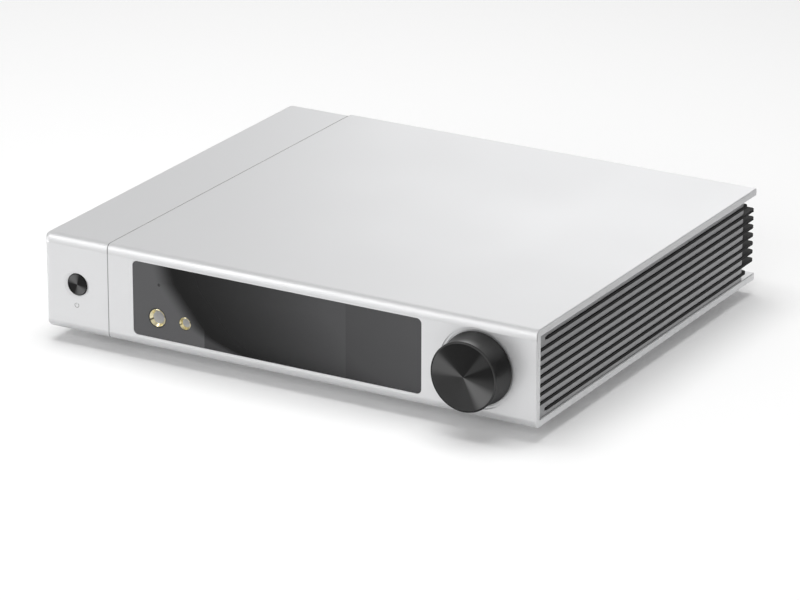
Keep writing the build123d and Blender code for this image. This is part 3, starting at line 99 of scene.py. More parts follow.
def linear(colour: Colour) -> tuple[float, float, float, float]:
    """Turn a display colour into the linear colour, with alpha, that a shader socket takes.

    The numbers are the sRGB curve's.

    Args:
        colour: Red, green and blue as seen on a screen, from 0 to 1.

    Returns:
        Linear red, green and blue, and an alpha of 1.
    """
    values = np.asarray(colour, float)
    low = values / 12.92
    high = ((values + 0.055) / 1.055) ** 2.4
    return (*np.where(values <= 0.04045, low, high).tolist(), 1.0)


def grey(level: float) -> Colour:
    """Return a neutral display colour of the given level."""
    return (level, level, level)


class Texture(Enum):
    """Surface treatments that the finishes choose from."""

    BLASTED = "blasted"
    SPUN = "spun"
    DRAWN = "drawn"
    MOULDED = "moulded"
    PLATED = "plated"


# Surfaces


def rounded(corners: Sequence[Span], radii: Sequence[float], steps: int) -> Points:
    """Round the inner corners of an open outline.

    Each becomes a circular arc that starts and ends radius * tan(turn / 2) from the corner.  Seen from
    its centre, a point at a share s of it is (sin((1 - s) turn) * start + sin(s turn) * end) / sin(turn).

    Args:
        corners: Points of the outline, in order.
        radii: Rounding radius at each inner corner.
        steps: Spans of each arc.

    Returns:
        Points of the rounded outline, one row each.
    """
    points = np.asarray(corners, float)
    rows = [points[:1]]
    for before, corner, after, radius in zip(points[:-2], points[1:-1], points[2:], radii):
        inward = (before - corner) / np.linalg.norm(before - corner)
        outward = (after - corner) / np.linalg.norm(after - corner)
        turn = math.pi - math.acos(float(np.clip(inward @ outward, -1, 1)))
        reach = radius * math.tan(turn / 2)
        middle = inward + outward
        centre = corner + middle / np.linalg.norm(middle) * radius / math.cos(turn / 2)
        start = corner + inward * reach - centre
        side = corner + outward * reach - centre
        share = np.linspace(0, 1, steps + 1)[:, None]
        arc = np.sin((1 - share) * turn) * start + np.sin(share * turn) * side
        rows.append(centre + arc / math.sin(turn))
    rows.append(points[-1:])
    return np.concatenate(rows)


def dished_face(radius: float, front: float, dish: float, count: int) -> Points:
    """Return rows of (r, y) for a face dished by a parabola: y = front + dish * (1 - (r / radius) ** 2)."""
    inner = np.linspace(0, radius, count)
    return np.stack([inner, front + dish * (1 - (inner / radius) ** 2)], axis=1)


def tube_quads(rows: int, columns: int) -> np.ndarray:
    """List the four corners of every cell of a grid of points whose last column joins the first.

    Args:
        rows: Number of rows of points.
        columns: Number of points in each row.

    Returns:
        Corner indices, one row for each cell.
    """
    near = np.arange(rows - 1)[:, None] * columns
    far = near + columns
    column = np.arange(columns)[None]
    after = (column + 1) % columns
    return np.stack([far + column, far + after, near + after, near + column], axis=-1).reshape(-1, 4)


def make_piece(name: str, points: Points, faces: Sequence[Sequence[int]]) -> bpy.types.Object:
    """Make one object from points and faces, smooth except at creases.

    Args:
        name: Name of the piece.
        points: Vertex places in metres, one row each.
        faces: Vertex indices of each face.

    Returns:
        The object, linked to the scene and standing at the origin.
    """
    mesh = bpy.data.meshes.new(name)
    mesh.from_pydata(np.asarray(points, float).tolist(), [], [list(map(int, face)) for face in faces])
    mesh.validate()
    mesh.shade_smooth()
    mesh.set_sharp_from_angle(angle=math.radians(CREASE))
    piece = bpy.data.objects.new(name, mesh)
    bpy.context.scene.collection.objects.link(piece)
    return piece


def turned_surface(outline: Points, x: float, z: float, sides: int) -> Mesh:
    """Turn an outline about the front-to-back axis through x and z.

    A point (radius, y) of the outline becomes the ring (x + radius cos t, y, z + radius sin t) for t from
    0 to a full turn.  Both of its ends lie on the axis, and each becomes one pole with a fan of triangles.

    Args:
        outline: Rows of (radius, y), from the front's middle round to the back.
        x: Place of the axis.
        z: Height of the axis.
        sides: Number of sides of each ring.

    Returns:
        The vertices and the faces.
    """
    body = outline[1:-1]
    angle = np.arange(sides) / sides * 2 * math.pi
    rings = np.stack([x + body[:, :1] * np.cos(angle), np.broadcast_to(body[:, 1:], (len(body), sides)),
                      z + body[:, :1] * np.sin(angle)], axis=-1).reshape(-1, 3)
    poles = np.array([(x, outline[0][1], z), (x, outline[-1][1], z)])
    column = np.arange(sides)
    after = (column + 1) % sides
    last = (len(body) - 1) * sides
    faces = tube_quads(len(body), sides).tolist()
    faces += np.stack([np.full(sides, len(rings)), column, after], axis=1).tolist()
    faces += np.stack([np.full(sides, len(rings) + 1), last + after, last + column], axis=1).tolist()
    return np.concatenate([rings, poles]), faces


def turned_piece(name: str, outline: Points, x: float, z: float, sides: int) -> bpy.types.Object:
    """Make a turned piece under the given name, from what turned_surface takes."""
    return make_piece(name, *turned_surface(outline, x, z, sides))


def band_along(path: Points, across: Points, section: Points) -> Mesh:
    """Carry a closed section along an open flat path on a face that looks towards -Y.

    A section point (u, v) at a path point p lies at p + u * across(p) + v * (0, -1, 0).

    Args:
        path: Path points.
        across: Unit vectors across the path, in the face.
        section: Closed outline of (u, v) points.

    Returns:
        The vertices and the faces.
    """
    out = np.array([0.0, -1.0, 0.0])
    points = path[:, None] + section[None, :, :1] * across[:, None] + section[None, :, 1:] * out
    count, size = points.shape[:2]
    faces = tube_quads(count, size).tolist()
    faces.append(list(range(size)))
    faces.append(list(range(count * size - 1, (count - 1) * size - 1, -1)))
    return points.reshape(-1, 3), faces


# Shaders


class Graph:
    """Small helper that adds, sets and links the nodes of one tree."""

    def __init__(self, tree: bpy.types.NodeTree) -> None:
        """Keep the tree to work on."""
        self.tree = tree

    def add(self, kind: str, inputs: dict | None = None, **settings) -> bpy.types.Node:
        """Add a node.

        Args:
            kind: Node type, without its Shader prefix.
            inputs: Values or sockets for its inputs, by name or index.
            **settings: Properties of the node.

        Returns:
            The new node.
        """
        node = self.tree.nodes.new(f"ShaderNode{kind}")
        for key, value in settings.items():
            setattr(node, key, value)
        self.feed_all(node, inputs or {})
        return node

    def feed(self, socket: Socket, value: object) -> None:
        """Link a socket into another, or set its value."""
        if isinstance(value, Socket):
            self.tree.links.new(value, socket)
        else:
            socket.default_value = value

    def feed_all(self, node: bpy.types.Node, values: dict) -> None:
        """Feed several inputs of a node, by name or index."""
        for key, value in values.items():
            self.feed(node.inputs[key], value)

    def maths(self, operation: str, *values: object, clamp: bool = False) -> Socket:
        """Return the result of a Math node, kept between 0 and 1 where clamp is set."""
        return self.add("Math", dict(enumerate(values)), operation=operation, use_clamp=clamp).outputs[0]

    def product(self, *factors: object) -> Socket:
        """Return the product of two or more numbers."""
        return reduce(lambda first, second: self.maths("MULTIPLY", first, second), factors)

    def vector(self, operation: str, *values: object) -> Socket:
        """Return the result of a Vector Math node, a number for a length or a dot product."""
        node = self.add("VectorMath", dict(enumerate(values)), operation=operation)
        return node.outputs["Value" if operation in ("LENGTH", "DOT_PRODUCT") else "Vector"]

    def scaled(self, value: object, factor: object) -> Socket:
        """Return a vector or colour times a number."""
        return self.add("VectorMath", {0: value, "Scale": factor}, operation="SCALE").outputs[0]

    def place(self) -> Socket:
        """Return the place on the object, in its own coordinates."""
        return self.add("TexCoord").outputs["Object"]

    def parts(self, value: object) -> tuple[Socket, ...]:
        """Return a vector's X, Y and Z."""
        return tuple(self.add("SeparateXYZ", {0: value}).outputs)

    def joined(self, **parts: object) -> Socket:
        """Return the vector with the given X, Y and Z, each 0 where it isn't given."""
        return self.add("CombineXYZ", parts).outputs[0]

    def noise(self, place: object, scale: object, detail: float, rough: float = 0.5) -> Socket:
        """Return a noise pattern at a place: cycles per metre, number of finer layers and their weight."""
        values = {"Vector": place, "Scale": scale, "Detail": detail, "Roughness": rough}
        return self.add("TexNoise", values).outputs["Fac"]

    def remap(self, value: object, low: float, high: float, to_low: float = 0.0, to_high: float = 1.0,
              smooth: bool = True) -> Socket:
        """Return a value mapped from low and high to to_low and to_high, eased at both where smooth."""
        values = dict(enumerate((value, low, high, to_low, to_high)))
        kind = "SMOOTHSTEP" if smooth else "LINEAR"
        return self.add("MapRange", values, interpolation_type=kind).outputs[0]


GROUP_INPUTS = ("Base", "Rough", "Scale", "Tone", "Unevenness", "Depth")
GROUP_OUTPUTS = ("Color", "Roughness", "Normal")
SOCKET_KINDS = {"Base": "Color", "Color": "Color", "Centre": "Vector", "Normal": "Vector"}
NOISE_SPAN = (0.3, 0.7)
PIT_SPAN = (0.25, 0.75)


class Treatment(Graph):
    """The nodes of one surface treatment in its group, whose outputs each treatment returns by name."""

    def __init__(self, tree: bpy.types.NodeTree, inputs: dict[str, Socket]) -> None:
        """Keep the group's tree and its input sockets by name."""
        super().__init__(tree)
        self.inputs = inputs

    def treated(self, mask: object, height: object, gloss: object) -> dict[str, Socket]:
        """Return the group's outputs, from the patterns of a treatment.

        Args:
            mask: Pattern from 0 to 1 that darkens the colour where it is low.
            height: Pattern of the relief, whose full step is Depth.
            gloss: Pattern from 0 to 1 that changes the roughness.

        Returns:
            Colour, roughness and normal.
        """
        inputs = self.inputs
        drift = self.product(inputs["Unevenness"], self.maths("SUBTRACT", gloss, 0.5))
        lost = self.product(inputs["Tone"], self.maths("SUBTRACT", 1.0, mask))
        bump = self.add("Bump", {"Strength": 1.0, "Distance": inputs["Depth"], "Height": height})
        return {
            "Color": self.scaled(inputs["Base"], self.maths("SUBTRACT", 1.0, lost)),
            "Roughness": self.maths("ADD", inputs["Rough"], drift),
            "Normal": bump.outputs[0],
        }

    def blasted(self) -> dict[str, Socket]:
        """Make bead-blasted metal: fine even pits, with a slow drift of tone and gloss."""
        place = self.place()
        pits = self.noise(place, self.inputs["Scale"], 3.0, 0.65)
        slow = self.remap(self.noise(place, 9.0, 2.0), *NOISE_SPAN)
        fine = self.product(self.remap(pits, *PIT_SPAN), 0.6)
        return self.treated(self.maths("ADD", fine, self.product(slow, 0.4)), pits, slow)

    def spun(self) -> dict[str, Socket]:
        """Make spun metal: concentric tool lines about the Y axis through Centre, of uneven depth."""
        across, along, up = self.parts(self.vector("SUBTRACT", self.place(), self.inputs["Centre"]))
        radius = self.vector("LENGTH", self.joined(X=across, Y=up))
        reach = self.product(self.maths("ADD", radius, along), self.inputs["Scale"])
        lines = self.add("TexNoise", {"W": reach, "Scale": 1.0, "Detail": 2.0, "Roughness": 0.6},
                         noise_dimensions="1D").outputs["Fac"]
        mask = self.remap(lines, *NOISE_SPAN)
        return self.treated(mask, lines, mask)

    def drawn(self) -> dict[str, Socket]:
        """Make drawn or brushed metal: long fine lines that run front to back."""
        thin = self.add("Mapping", {"Vector": self.place(), "Scale": (1.0, 0.02, 1.0)}).outputs[0]
        lines = self.noise(thin, self.inputs["Scale"], 4.0, 0.7)
        mask = self.remap(lines, *NOISE_SPAN)
        return self.treated(mask, lines, mask)

    def moulded(self) -> dict[str, Socket]:
        """Make moulded plastic or rubber: a fine spark-eroded skin with a faint cloud of tone."""
        place = self.place()
        skin = self.add("TexVoronoi", {"Vector": place, "Scale": self.inputs["Scale"]}).outputs["Distance"]
        cloud = self.remap(self.noise(place, 40.0, 3.0), *NOISE_SPAN)
        return self.treated(cloud, skin, cloud)

    def plated(self) -> dict[str, Socket]:
        """Make plated metal: nearly smooth, with a slow haze in its gloss and faint polishing scratches."""
        place = self.place()
        haze = self.remap(self.noise(place, self.inputs["Scale"], 2.0), *NOISE_SPAN)
        thin = self.add("Mapping", {"Vector": place, "Rotation": (0.4, 0.7, 0.2), "Scale": (1.0, 0.05, 1.0)})
        return self.treated(haze, self.noise(thin.outputs[0], 2600.0, 2.0), haze)


def treatment_group(texture: Texture) -> bpy.types.NodeTree:
    """Build the shader node group of a surface treatment once, with named sockets.

    Args:
        texture: The treatment.

    Returns:
        The node group.
    """
    name = f"{texture.value}_surface"
    found = bpy.data.node_groups.get(name)
    if found:
        return found
    tree = bpy.data.node_groups.new(name, "ShaderNodeTree")
    inputs = (*GROUP_INPUTS, "Centre") if texture is Texture.SPUN else GROUP_INPUTS
    for side, sockets in (("INPUT", inputs), ("OUTPUT", GROUP_OUTPUTS)):
        for socket in sockets:
            kind = f"NodeSocket{SOCKET_KINDS.get(socket, 'Float')}"
            tree.interface.new_socket(socket, in_out=side, socket_type=kind)
    start = tree.nodes.new("NodeGroupInput")
    end = tree.nodes.new("NodeGroupOutput")
    nodes = Treatment(tree, {name: start.outputs[name] for name in inputs})
    makers = {Texture.BLASTED: nodes.blasted, Texture.SPUN: nodes.spun, Texture.DRAWN: nodes.drawn,
              Texture.MOULDED: nodes.moulded, Texture.PLATED: nodes.plated}
    nodes.feed_all(end, makers[texture]())
    return tree


@dataclass(frozen=True)
class PaintedSheenFan:
    """A fan of painted sheen on a spun face: a painted highlight where it brightens, painted shade where it
    darkens.

    Attributes:
        angle: Its middle in degrees, from +X towards +Z.
        outer: Half width in degrees where it has faded out.
        inner: Half width in degrees of its full strength.
        gain: Share of the base colour that it adds, or takes off where negative.
        radii: Radii between which it shows.
        depths: Places along Y between which it shows.
        fades: Whether it fades out from the first depth to the second.
    """

    angle: float
    outer: float
    inner: float
    gain: float
    radii: Span
    depths: Span = (-FAR, FAR)
    fades: bool = False

    def strength(self, graph: Graph, radial: object, radius: object, along: object) -> Socket:
        """Return the share of the base colour that the fan adds at each point.

        It eases in with the cosine of the angle between the point's radius and the fan's middle.

        Args:
            graph: Tree to work in.
            radial: Unit vector from the axis to the point.
            radius: Its distance from the axis.
            along: Its place along Y.

        Returns:
            The added share.
        """
        turn = math.radians(self.angle)
        facing = graph.vector("DOT_PRODUCT", radial, (math.cos(turn), 0.0, math.sin(turn)))
        low, high = self.radii
        start, end = self.depths
        shares = [
            graph.remap(facing, math.cos(math.radians(self.outer)), math.cos(math.radians(self.inner))),
            graph.maths("GREATER_THAN", radius, low),
            graph.maths("LESS_THAN", radius, high),
            graph.maths("GREATER_THAN", along, start),
            graph.maths("LESS_THAN", along, end),
        ]
        if self.fades:
            shares.append(graph.remap(along, start, end, 1.0, 0.0))
        return graph.product(*shares, self.gain)


@dataclass(frozen=True)
class EasedEdges:
    """Soft roll-off of the front's long upper and lower edges, as if their rounds were wider.

    The powers set how evenly it turns, and agreement gives the cosines of the angle to a face's own
    normal between which it sets in.
    """

    depth: float = 4.5 * MM
    top: float = 5.4 * MM
    foot: float = 4.5 * MM
    depth_power: float = 2.4
    top_power: float = 0.36
    foot_power: float = 0.6
    agreement: Span = (0.7, 0.8)

    def softened(self, graph: Graph, relief: Socket) -> Socket:
        """Return the normal with the two edges rolled off.

        Its part across the edges turns gradually from the top or the underside to the front.  The walls of
        openings keep their own normal.

        Args:
            graph: Tree to work in.
            relief: Normal with the fine relief of the finish.

        Returns:
            The softened normal, with the relief on it.
        """
        coordinates = graph.add("TexCoord")
        _, along, up = graph.parts(coordinates.outputs["Object"])
        _, own_along, own_up = graph.parts(coordinates.outputs["Normal"])
        ahead = graph.remap(along, FRONT_FACE, FRONT_FACE + self.depth, 1.0, 0.0, smooth=False)
        upper = graph.remap(up, CASE_TOP - self.top, CASE_TOP, smooth=False)
        lower = graph.remap(up, CASE_FOOT, CASE_FOOT + self.foot, 1.0, 0.0, smooth=False)
        forward = graph.product(graph.maths("POWER", ahead, self.depth_power), -1.0)
        rise = graph.maths("SUBTRACT", graph.maths("POWER", upper, self.top_power),
                           graph.maths("POWER", lower, self.foot_power))
        way = graph.vector("NORMALIZE", graph.joined(Y=forward, Z=rise))
        flat = graph.joined(Y=own_along, Z=own_up)
        agrees = graph.vector("DOT_PRODUCT", graph.vector("NORMALIZE", flat), way)
        wanted = graph.scaled(way, graph.vector("LENGTH", flat))
        change = graph.scaled(graph.vector("SUBTRACT", wanted, flat), graph.remap(agrees, *self.agreement))
        turned = graph.add("VectorTransform", {0: change}, vector_type="VECTOR", convert_from="OBJECT",
                           convert_to="WORLD").outputs[0]
        return graph.vector("ADD", relief, turned)


def new_material(name: str) -> tuple[bpy.types.Material, Graph, bpy.types.Node]:
    """Make a material with a Principled shader.

    Args:
        name: Name of the material.

    Returns:
        The material, its graph and its shader.
    """
    material = bpy.data.materials.new(name)
    material.use_nodes = True
    tree = material.node_tree
    return material, Graph(tree), tree.nodes["Principled BSDF"]


@dataclass(frozen=True)
class Finish:
    """One finish of the object: its colour, gloss and surface treatment.

    Attributes:
        name: Name of the material.
        colour: Display colour.
        texture: Surface treatment.
        rough: Middle roughness.
        metallic: 1 for metal, 0 for all else.
        scale: Fineness of the pattern, in cycles per metre.
        tone: Share of the colour lost in its low parts.
        unevenness: Change of roughness over the surface.
        depth: Full step of the relief.
        anisotropy: Stretch of the gloss along tool lines about the Y axis.
        specular: Specular level of a finish that isn't metal.
        coat: Weight of a clear coat.
        centre: Point on the axis of a spun finish.
        painted_fans: Fans of painted sheen, painted highlights and shade, of a spun finish.
        seam: Place across X of the seam, along which its shade is painted as a dark line.
        edges: Roll-off of the front's long edges.
        glow: Light that it gives off, for the lining of a hole that the lamps don't reach.
    """

    name: str
    colour: Colour
    texture: Texture
    rough: float = 0.5
    metallic: float = 0.0
    scale: float = 900.0
    tone: float = 0.08
    unevenness: float = 0.06
    depth: float = 4e-6
    anisotropy: float = 0.0
    specular: float = 0.5
    coat: float = 0.0
    centre: Place | None = None
    painted_fans: tuple[PaintedSheenFan, ...] = ()
    seam: float | None = None
    edges: EasedEdges | None = None
    glow: float = 0.0

    def with_seam_shade(self, graph: Graph) -> Socket:
        """Return the linear base colour with the seam's painted shade on it, a dark line, made in the given
        graph.
        """
        beside = graph.maths("ABSOLUTE", graph.maths("SUBTRACT", graph.parts(graph.place())[0], self.seam))
        gain = graph.remap(beside, SEAM_SHADE_HALF, SEAM_SHADE_HALF * SEAM_SHADE_FADE, SEAM_SHADE_TONE, 1.0)
        return graph.scaled(linear(self.colour)[:3], gain)

    def with_painted_fans(self, graph: Graph) -> Socket:
        """Return the linear base colour with the painted fans of sheen on it, made in the given graph."""
        place = graph.place()
        flat = graph.vector("MULTIPLY", graph.vector("SUBTRACT", place, self.centre), (1.0, 0.0, 1.0))
        radial = graph.vector("NORMALIZE", flat)
        radius = graph.vector("LENGTH", flat)
        along = graph.parts(place)[1]
        gain: object = 1.0
        for painted_fan in self.painted_fans:
            gain = graph.maths("ADD", gain, painted_fan.strength(graph, radial, radius, along))
        return graph.scaled(linear(self.colour)[:3], gain)

    def material(self) -> bpy.types.Material:
        """Return this finish's material, built the first time it is asked for."""
        found = bpy.data.materials.get(self.name)
        if found:
            return found
        material, graph, shader = new_material(self.name)
        group = graph.add("Group", node_tree=treatment_group(self.texture))
        values = {"Base": linear(self.colour), "Rough": self.rough, "Scale": self.scale, "Tone": self.tone,
                  "Unevenness": self.unevenness, "Depth": self.depth}
        if self.centre is not None:
            values["Centre"] = self.centre
        if self.painted_fans:
            values["Base"] = self.with_painted_fans(graph)
        if self.seam is not None:
            values["Base"] = self.with_seam_shade(graph)
        graph.feed_all(group, values)
        normal = group.outputs["Normal"]
        if self.edges is not None:
            normal = self.edges.softened(graph, normal)
        graph.feed_all(shader, {
            "Base Color": group.outputs["Color"],
            "Roughness": group.outputs["Roughness"],
            "Normal": normal,
            "Metallic": self.metallic,
            "Specular IOR Level": self.specular,
            "Coat Weight": self.coat,
            "Coat Roughness": COAT_ROUGHNESS,
        })
        if self.glow:
            graph.feed_all(shader, {"Emission Color": linear(self.colour), "Emission Strength": self.glow})
        if self.anisotropy:
            tangent = graph.add("Tangent", direction_type="RADIAL", axis="Y").outputs[0]
            graph.feed_all(shader, {"Anisotropic": self.anisotropy, "Anisotropic Rotation": QUARTER_TURN,
                                    "Tangent": tangent})
        material.diffuse_color = linear(self.colour)
        return material


# The shell's aluminium carries the painted shade along the seam between shell and pod.
ALUMINIUM = Finish("blasted_aluminium", (0.885, 0.886, 0.89), Texture.BLASTED, rough=0.42, metallic=0.6,
                   scale=2600.0, tone=0.035, unevenness=0.05, depth=3.5e-6, seam=-106.1 * MM,
                   edges=EasedEdges())
# Darker copy of the shell's aluminium for the recessed right wall: painted shade of that side.
SHADED_SIDE_ALUMINIUM = Finish("side_wall_aluminium_painted_shade", (0.67, 0.672, 0.677), Texture.BLASTED, metallic=1.0,
                        scale=2600.0, tone=0.05, unevenness=0.05, depth=3.5e-6)
# The knob takes this finish with its painted fans of sheen, under this material's name.
SPUN_DARK = Finish("spun_dark_aluminium_painted_sheen", grey(0.27), Texture.SPUN, metallic=1.0, scale=9000.0,
                   tone=0.12, unevenness=0.05, depth=1e-6, anisotropy=0.8)
FIN_BLACK = Finish("fin_black_anodised", grey(0.07), Texture.DRAWN, rough=0.6, scale=1500.0, tone=0.2,
                   specular=0.18)
PANEL_BLACK = Finish("rear_panel_paint", grey(0.12), Texture.MOULDED, rough=0.62, scale=2200.0, tone=0.15,
                     depth=1e-5)
RUBBER = Finish("foot_rubber", grey(0.13), Texture.MOULDED, rough=0.85, scale=1400.0, tone=0.2, depth=2e-5,
                specular=0.3)
FOOT_BLACK = Finish("foot_cup_black", grey(0.16), Texture.MOULDED, rough=0.6, scale=1800.0, depth=1e-5)
BLACK_PLASTIC = Finish("moulded_black", grey(0.14), Texture.MOULDED, rough=0.55, scale=2000.0, depth=1e-5)
COLLAR_BLACK = Finish("collar_black", grey(0.1), Texture.MOULDED, rough=0.35, scale=2000.0, depth=3e-6)
GOLD = Finish("gold_plate", (0.96, 0.92, 0.76), Texture.PLATED, rough=0.22, metallic=1.0, scale=300.0,
              tone=0.1, depth=1e-6)
# The lining's faint glow is painted light that lifts the inside of the holes.
JACK_GREY = Finish("jack_lining", grey(0.84), Texture.PLATED, rough=0.6, scale=400.0, depth=2e-6, glow=0.09)
ZINC = Finish("zinc_screw", (0.7, 0.7, 0.71), Texture.PLATED, rough=0.33, metallic=1.0, scale=500.0,
              tone=0.12, depth=2e-6)
BLACK_SCREW = Finish("black_screw", grey(0.15), Texture.PLATED, rough=0.42, metallic=0.8, scale=500.0,
                     tone=0.2, depth=2e-6)
TIN = Finish("socket_tin", (0.76, 0.76, 0.75), Texture.PLATED, rough=0.28, metallic=1.0, scale=350.0,
             tone=0.1, depth=2e-6)
BRASS = Finish("turned_brass", (0.83, 0.68, 0.4), Texture.PLATED, rough=0.3, metallic=1.0, scale=400.0,
               tone=0.12, depth=2e-6)
BOARD_GREEN = Finish("board_mask", (0.05, 0.27, 0.15), Texture.MOULDED, rough=0.4, tone=0.25, depth=6e-6)
SCREEN_DARK = Finish("screen_dark", grey(0.12), Texture.PLATED, rough=0.35, scale=200.0)
SINK_BLACK = Finish("heat_sink_black", grey(0.14), Texture.DRAWN, metallic=0.6, scale=1200.0, tone=0.2)
CAN_SLEEVE = Finish("capacitor_sleeve", (0.12, 0.13, 0.2), Texture.MOULDED, rough=0.4, scale=700.0)
WINDING = Finish("transformer_tape", (0.55, 0.47, 0.2), Texture.DRAWN, rough=0.55, scale=500.0, tone=0.3,
                 depth=3e-5)
CLEAR_TUBE = Finish("fuse_tube", (0.8, 0.83, 0.83), Texture.PLATED, rough=0.1, scale=300.0, coat=0.5)
WHITE_PLASTIC = Finish("insert_white", grey(0.9), Texture.MOULDED, rough=0.4, scale=1800.0, depth=6e-6)
RED_PLASTIC = replace(WHITE_PLASTIC, name="insert_red", colour=(0.72, 0.07, 0.07))
ORANGE_PLASTIC = replace(WHITE_PLASTIC, name="insert_orange", colour=(0.85, 0.4, 0.08))
TAPE = Finish("foam_tape", grey(0.12), Texture.MOULDED, rough=0.9, depth=2e-5)
PRINT_GREY = Finish("printed_grey", grey(0.55), Texture.MOULDED, scale=1500.0, depth=2e-6)

FINISHED_NODES: dict[Finish, tuple[str, ...]] = {
    ALUMINIUM: ("main_shell", "power_pod"),
    SHADED_SIDE_ALUMINIUM: ("side_wall",),
    FIN_BLACK: ("side_fins",),
    PANEL_BLACK: ("rear_panel",),
    COLLAR_BLACK: ("sensor_lens", "jack_collars"),
    GOLD: ("jack_ferrules", "phono_sockets", "balanced_pins"),
    JACK_GREY: ("jack_sleeves", "large_jack", "small_jack"),
    SCREEN_DARK: ("lcd_module",),
    TAPE: ("glass_tape",),
    ZINC: ("lcd_bracket", "front_screws", "encoder_nut", "seam_screws", "side_wall_screws", "foot_screws",
           "board_screws"),
    BOARD_GREEN: ("headphone_board", "button_board", "main_board", "psu_board"),
    BLACK_PLASTIC: ("remote_receiver", "button_switch", "processor", "mains_inlet", "fuse_drawer",
                    "optical_socket", "optical_shutter", "trigger_socket", "balanced_outputs"),
    TIN: ("encoder_body", "converter_shield", "inlet_blades", "ethernet_socket", "usb_sockets",
          "usb_square_socket"),
    BRASS: ("encoder_rotor", "encoder_shaft", "board_standoffs"),
    BLACK_SCREW: ("knob_grub_screw", "rear_panel_screws", "balanced_screws"),
    FOOT_BLACK: ("feet",),
    RUBBER: ("foot_pads",),
    SINK_BLACK: ("processor_heat_sink", "psu_heat_sink"),
    CAN_SLEEVE: ("filter_capacitors", "psu_capacitors"),
    WINDING: ("psu_transformer",),
    CLEAR_TUBE: ("mains_fuse",),
    WHITE_PLASTIC: ("phono_inserts",),
}


def dress(piece: bpy.types.Object, material: bpy.types.Material) -> None:
    """Put one material on every slot of a piece.

    Args:
        piece: The object to dress.
        material: Its new material.
    """
    if not piece.material_slots:
        piece.data.materials.append(material)
    for slot in piece.material_slots:
        slot.material = material


def place_piece(piece: bpy.types.Object, body: str, slot: str, finish: Finish, *nodes: str) -> None:
    """Dress a new piece and tie it to the frame.

    Args:
        piece: The new object.
        body: Frame body that it moves with.
        slot: Material slot of the record that the piece answers to; not used.
        finish: Its finish.
        *nodes: Frame nodes that it stands for.
    """
    dress(piece, finish.material())
    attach(piece, body)
    if nodes:
        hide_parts(*nodes)
    LOG.info("%s: %d vertices on %s", piece.name, len(piece.data.vertices), body)


# Sub-assemblies


@dataclass(frozen=True)
class VolumeKnob:
    """The large rotary knob, its recess ring being milled in the shell."""

    x: float = 111.8 * MM
    z: float = 34.0 * MM
    front: float = -131.15 * MM
    back: float = -116.45 * MM
    face_radius: float = 18.55 * MM
    waist_radius: float = 17.0 * MM
    skirt_radius: float = 19.45 * MM
    bevel: float = 0.95 * MM
    bevel_depth: float = 0.45 * MM
    rim_width: float = 0.9 * MM
    undercut: float = 0.7 * MM
    skirt_width: float = 0.8 * MM
    cove_rise: float = 0.9 * MM
    cavity_radius: float = 9.0 * MM
    cavity_front: float = -121.65 * MM
    dish: float = 0.12 * MM
    lip_rounds: tuple[float, ...] = (0.12 * MM, 0.2 * MM)
    rear_rounds: tuple[float, ...] = (0.2 * MM, 0.2 * MM, 0.3 * MM)
    face_points: int = 14
    cove_points: int = 22
    sides: int = 160
    margin: float = 0.1 * MM
    painted_glint_reach: float = 7.0 * MM

    def outline(self) -> Points:
        """Return the turned outline from the middle of the face round to the cavity's floor.

        The face is dished by a shallow parabola, a bevel and a short rim go round it, and the side is a
        cove that flares to the skirt: a straight line less 4 * cove_rise * share * (1 - share).
        """
        face = self.face_radius - self.bevel
        dished = dished_face(face, self.front, self.dish, self.face_points)
        start = np.array([self.waist_radius, self.front + self.rim_width + self.undercut])
        end = np.array([self.skirt_radius, self.back - self.skirt_width])
        share = np.linspace(0, 1, self.cove_points)[:, None]
        cove = start + (end - start) * share
        cove[:, 0] -= (self.cove_rise * 4 * share * (1 - share))[:, 0]
        lip = rounded(
            [(face, self.front), (self.face_radius, self.front + self.bevel_depth),
             (self.face_radius, self.front + self.rim_width), tuple(start)],
            self.lip_rounds, steps=4)
        rear = rounded(
            [tuple(end), (self.skirt_radius, self.back), (self.cavity_radius, self.back),
             (self.cavity_radius, self.cavity_front), (0, self.cavity_front)],
            self.rear_rounds, steps=3)
        return np.concatenate([dished, lip[1:], cove[1:], rear[1:]])

    def finish(self) -> Finish:
        """Return the dark spun finish, centred on the knob's axis, with the painted fans of sheen, highlight
        and shade, of each part.
        """
        face = (0.0, self.face_radius - self.bevel)
        bevel = (self.face_radius - self.bevel, self.face_radius + self.margin)
        side = (0.0, self.skirt_radius + MM)
        behind = self.front + self.rim_width + self.undercut
        rim = (-FAR, behind)
        # Painted highlights and painted shade: wedges on the face and the bevel, a painted glint and sheen
        # on the side.
        painted_fans = (
            PaintedSheenFan(72, 84, 55, -0.6, face, rim),
            PaintedSheenFan(42, 16, 3, 0.6, face, rim),
            PaintedSheenFan(163, 26, 4, 0.95, face, rim),
            PaintedSheenFan(321, 30, 5, 1.5, face, rim),
            PaintedSheenFan(235, 110, 60, -0.5, bevel, rim),
            PaintedSheenFan(50, 80, 20, 0.5, bevel, rim),
            PaintedSheenFan(94, 30, 3, 8.5, side, (behind, behind + self.painted_glint_reach), True),
            PaintedSheenFan(100, 65, 30, 2.4, side, (behind, self.back), True),
            PaintedSheenFan(25, 85, 50, 0.5, side, (behind, self.back)),
        )
        return replace(SPUN_DARK, centre=(self.x, 0.0, self.z), painted_fans=painted_fans)

    def build(self) -> None:
        """Make the knob and tie it to the shaft's body."""
        piece = turned_piece("knob_turning", self.outline(), self.x, self.z, self.sides)
        place_piece(piece, "volume_knob", "knob_grey", self.finish(), "volume_knob")


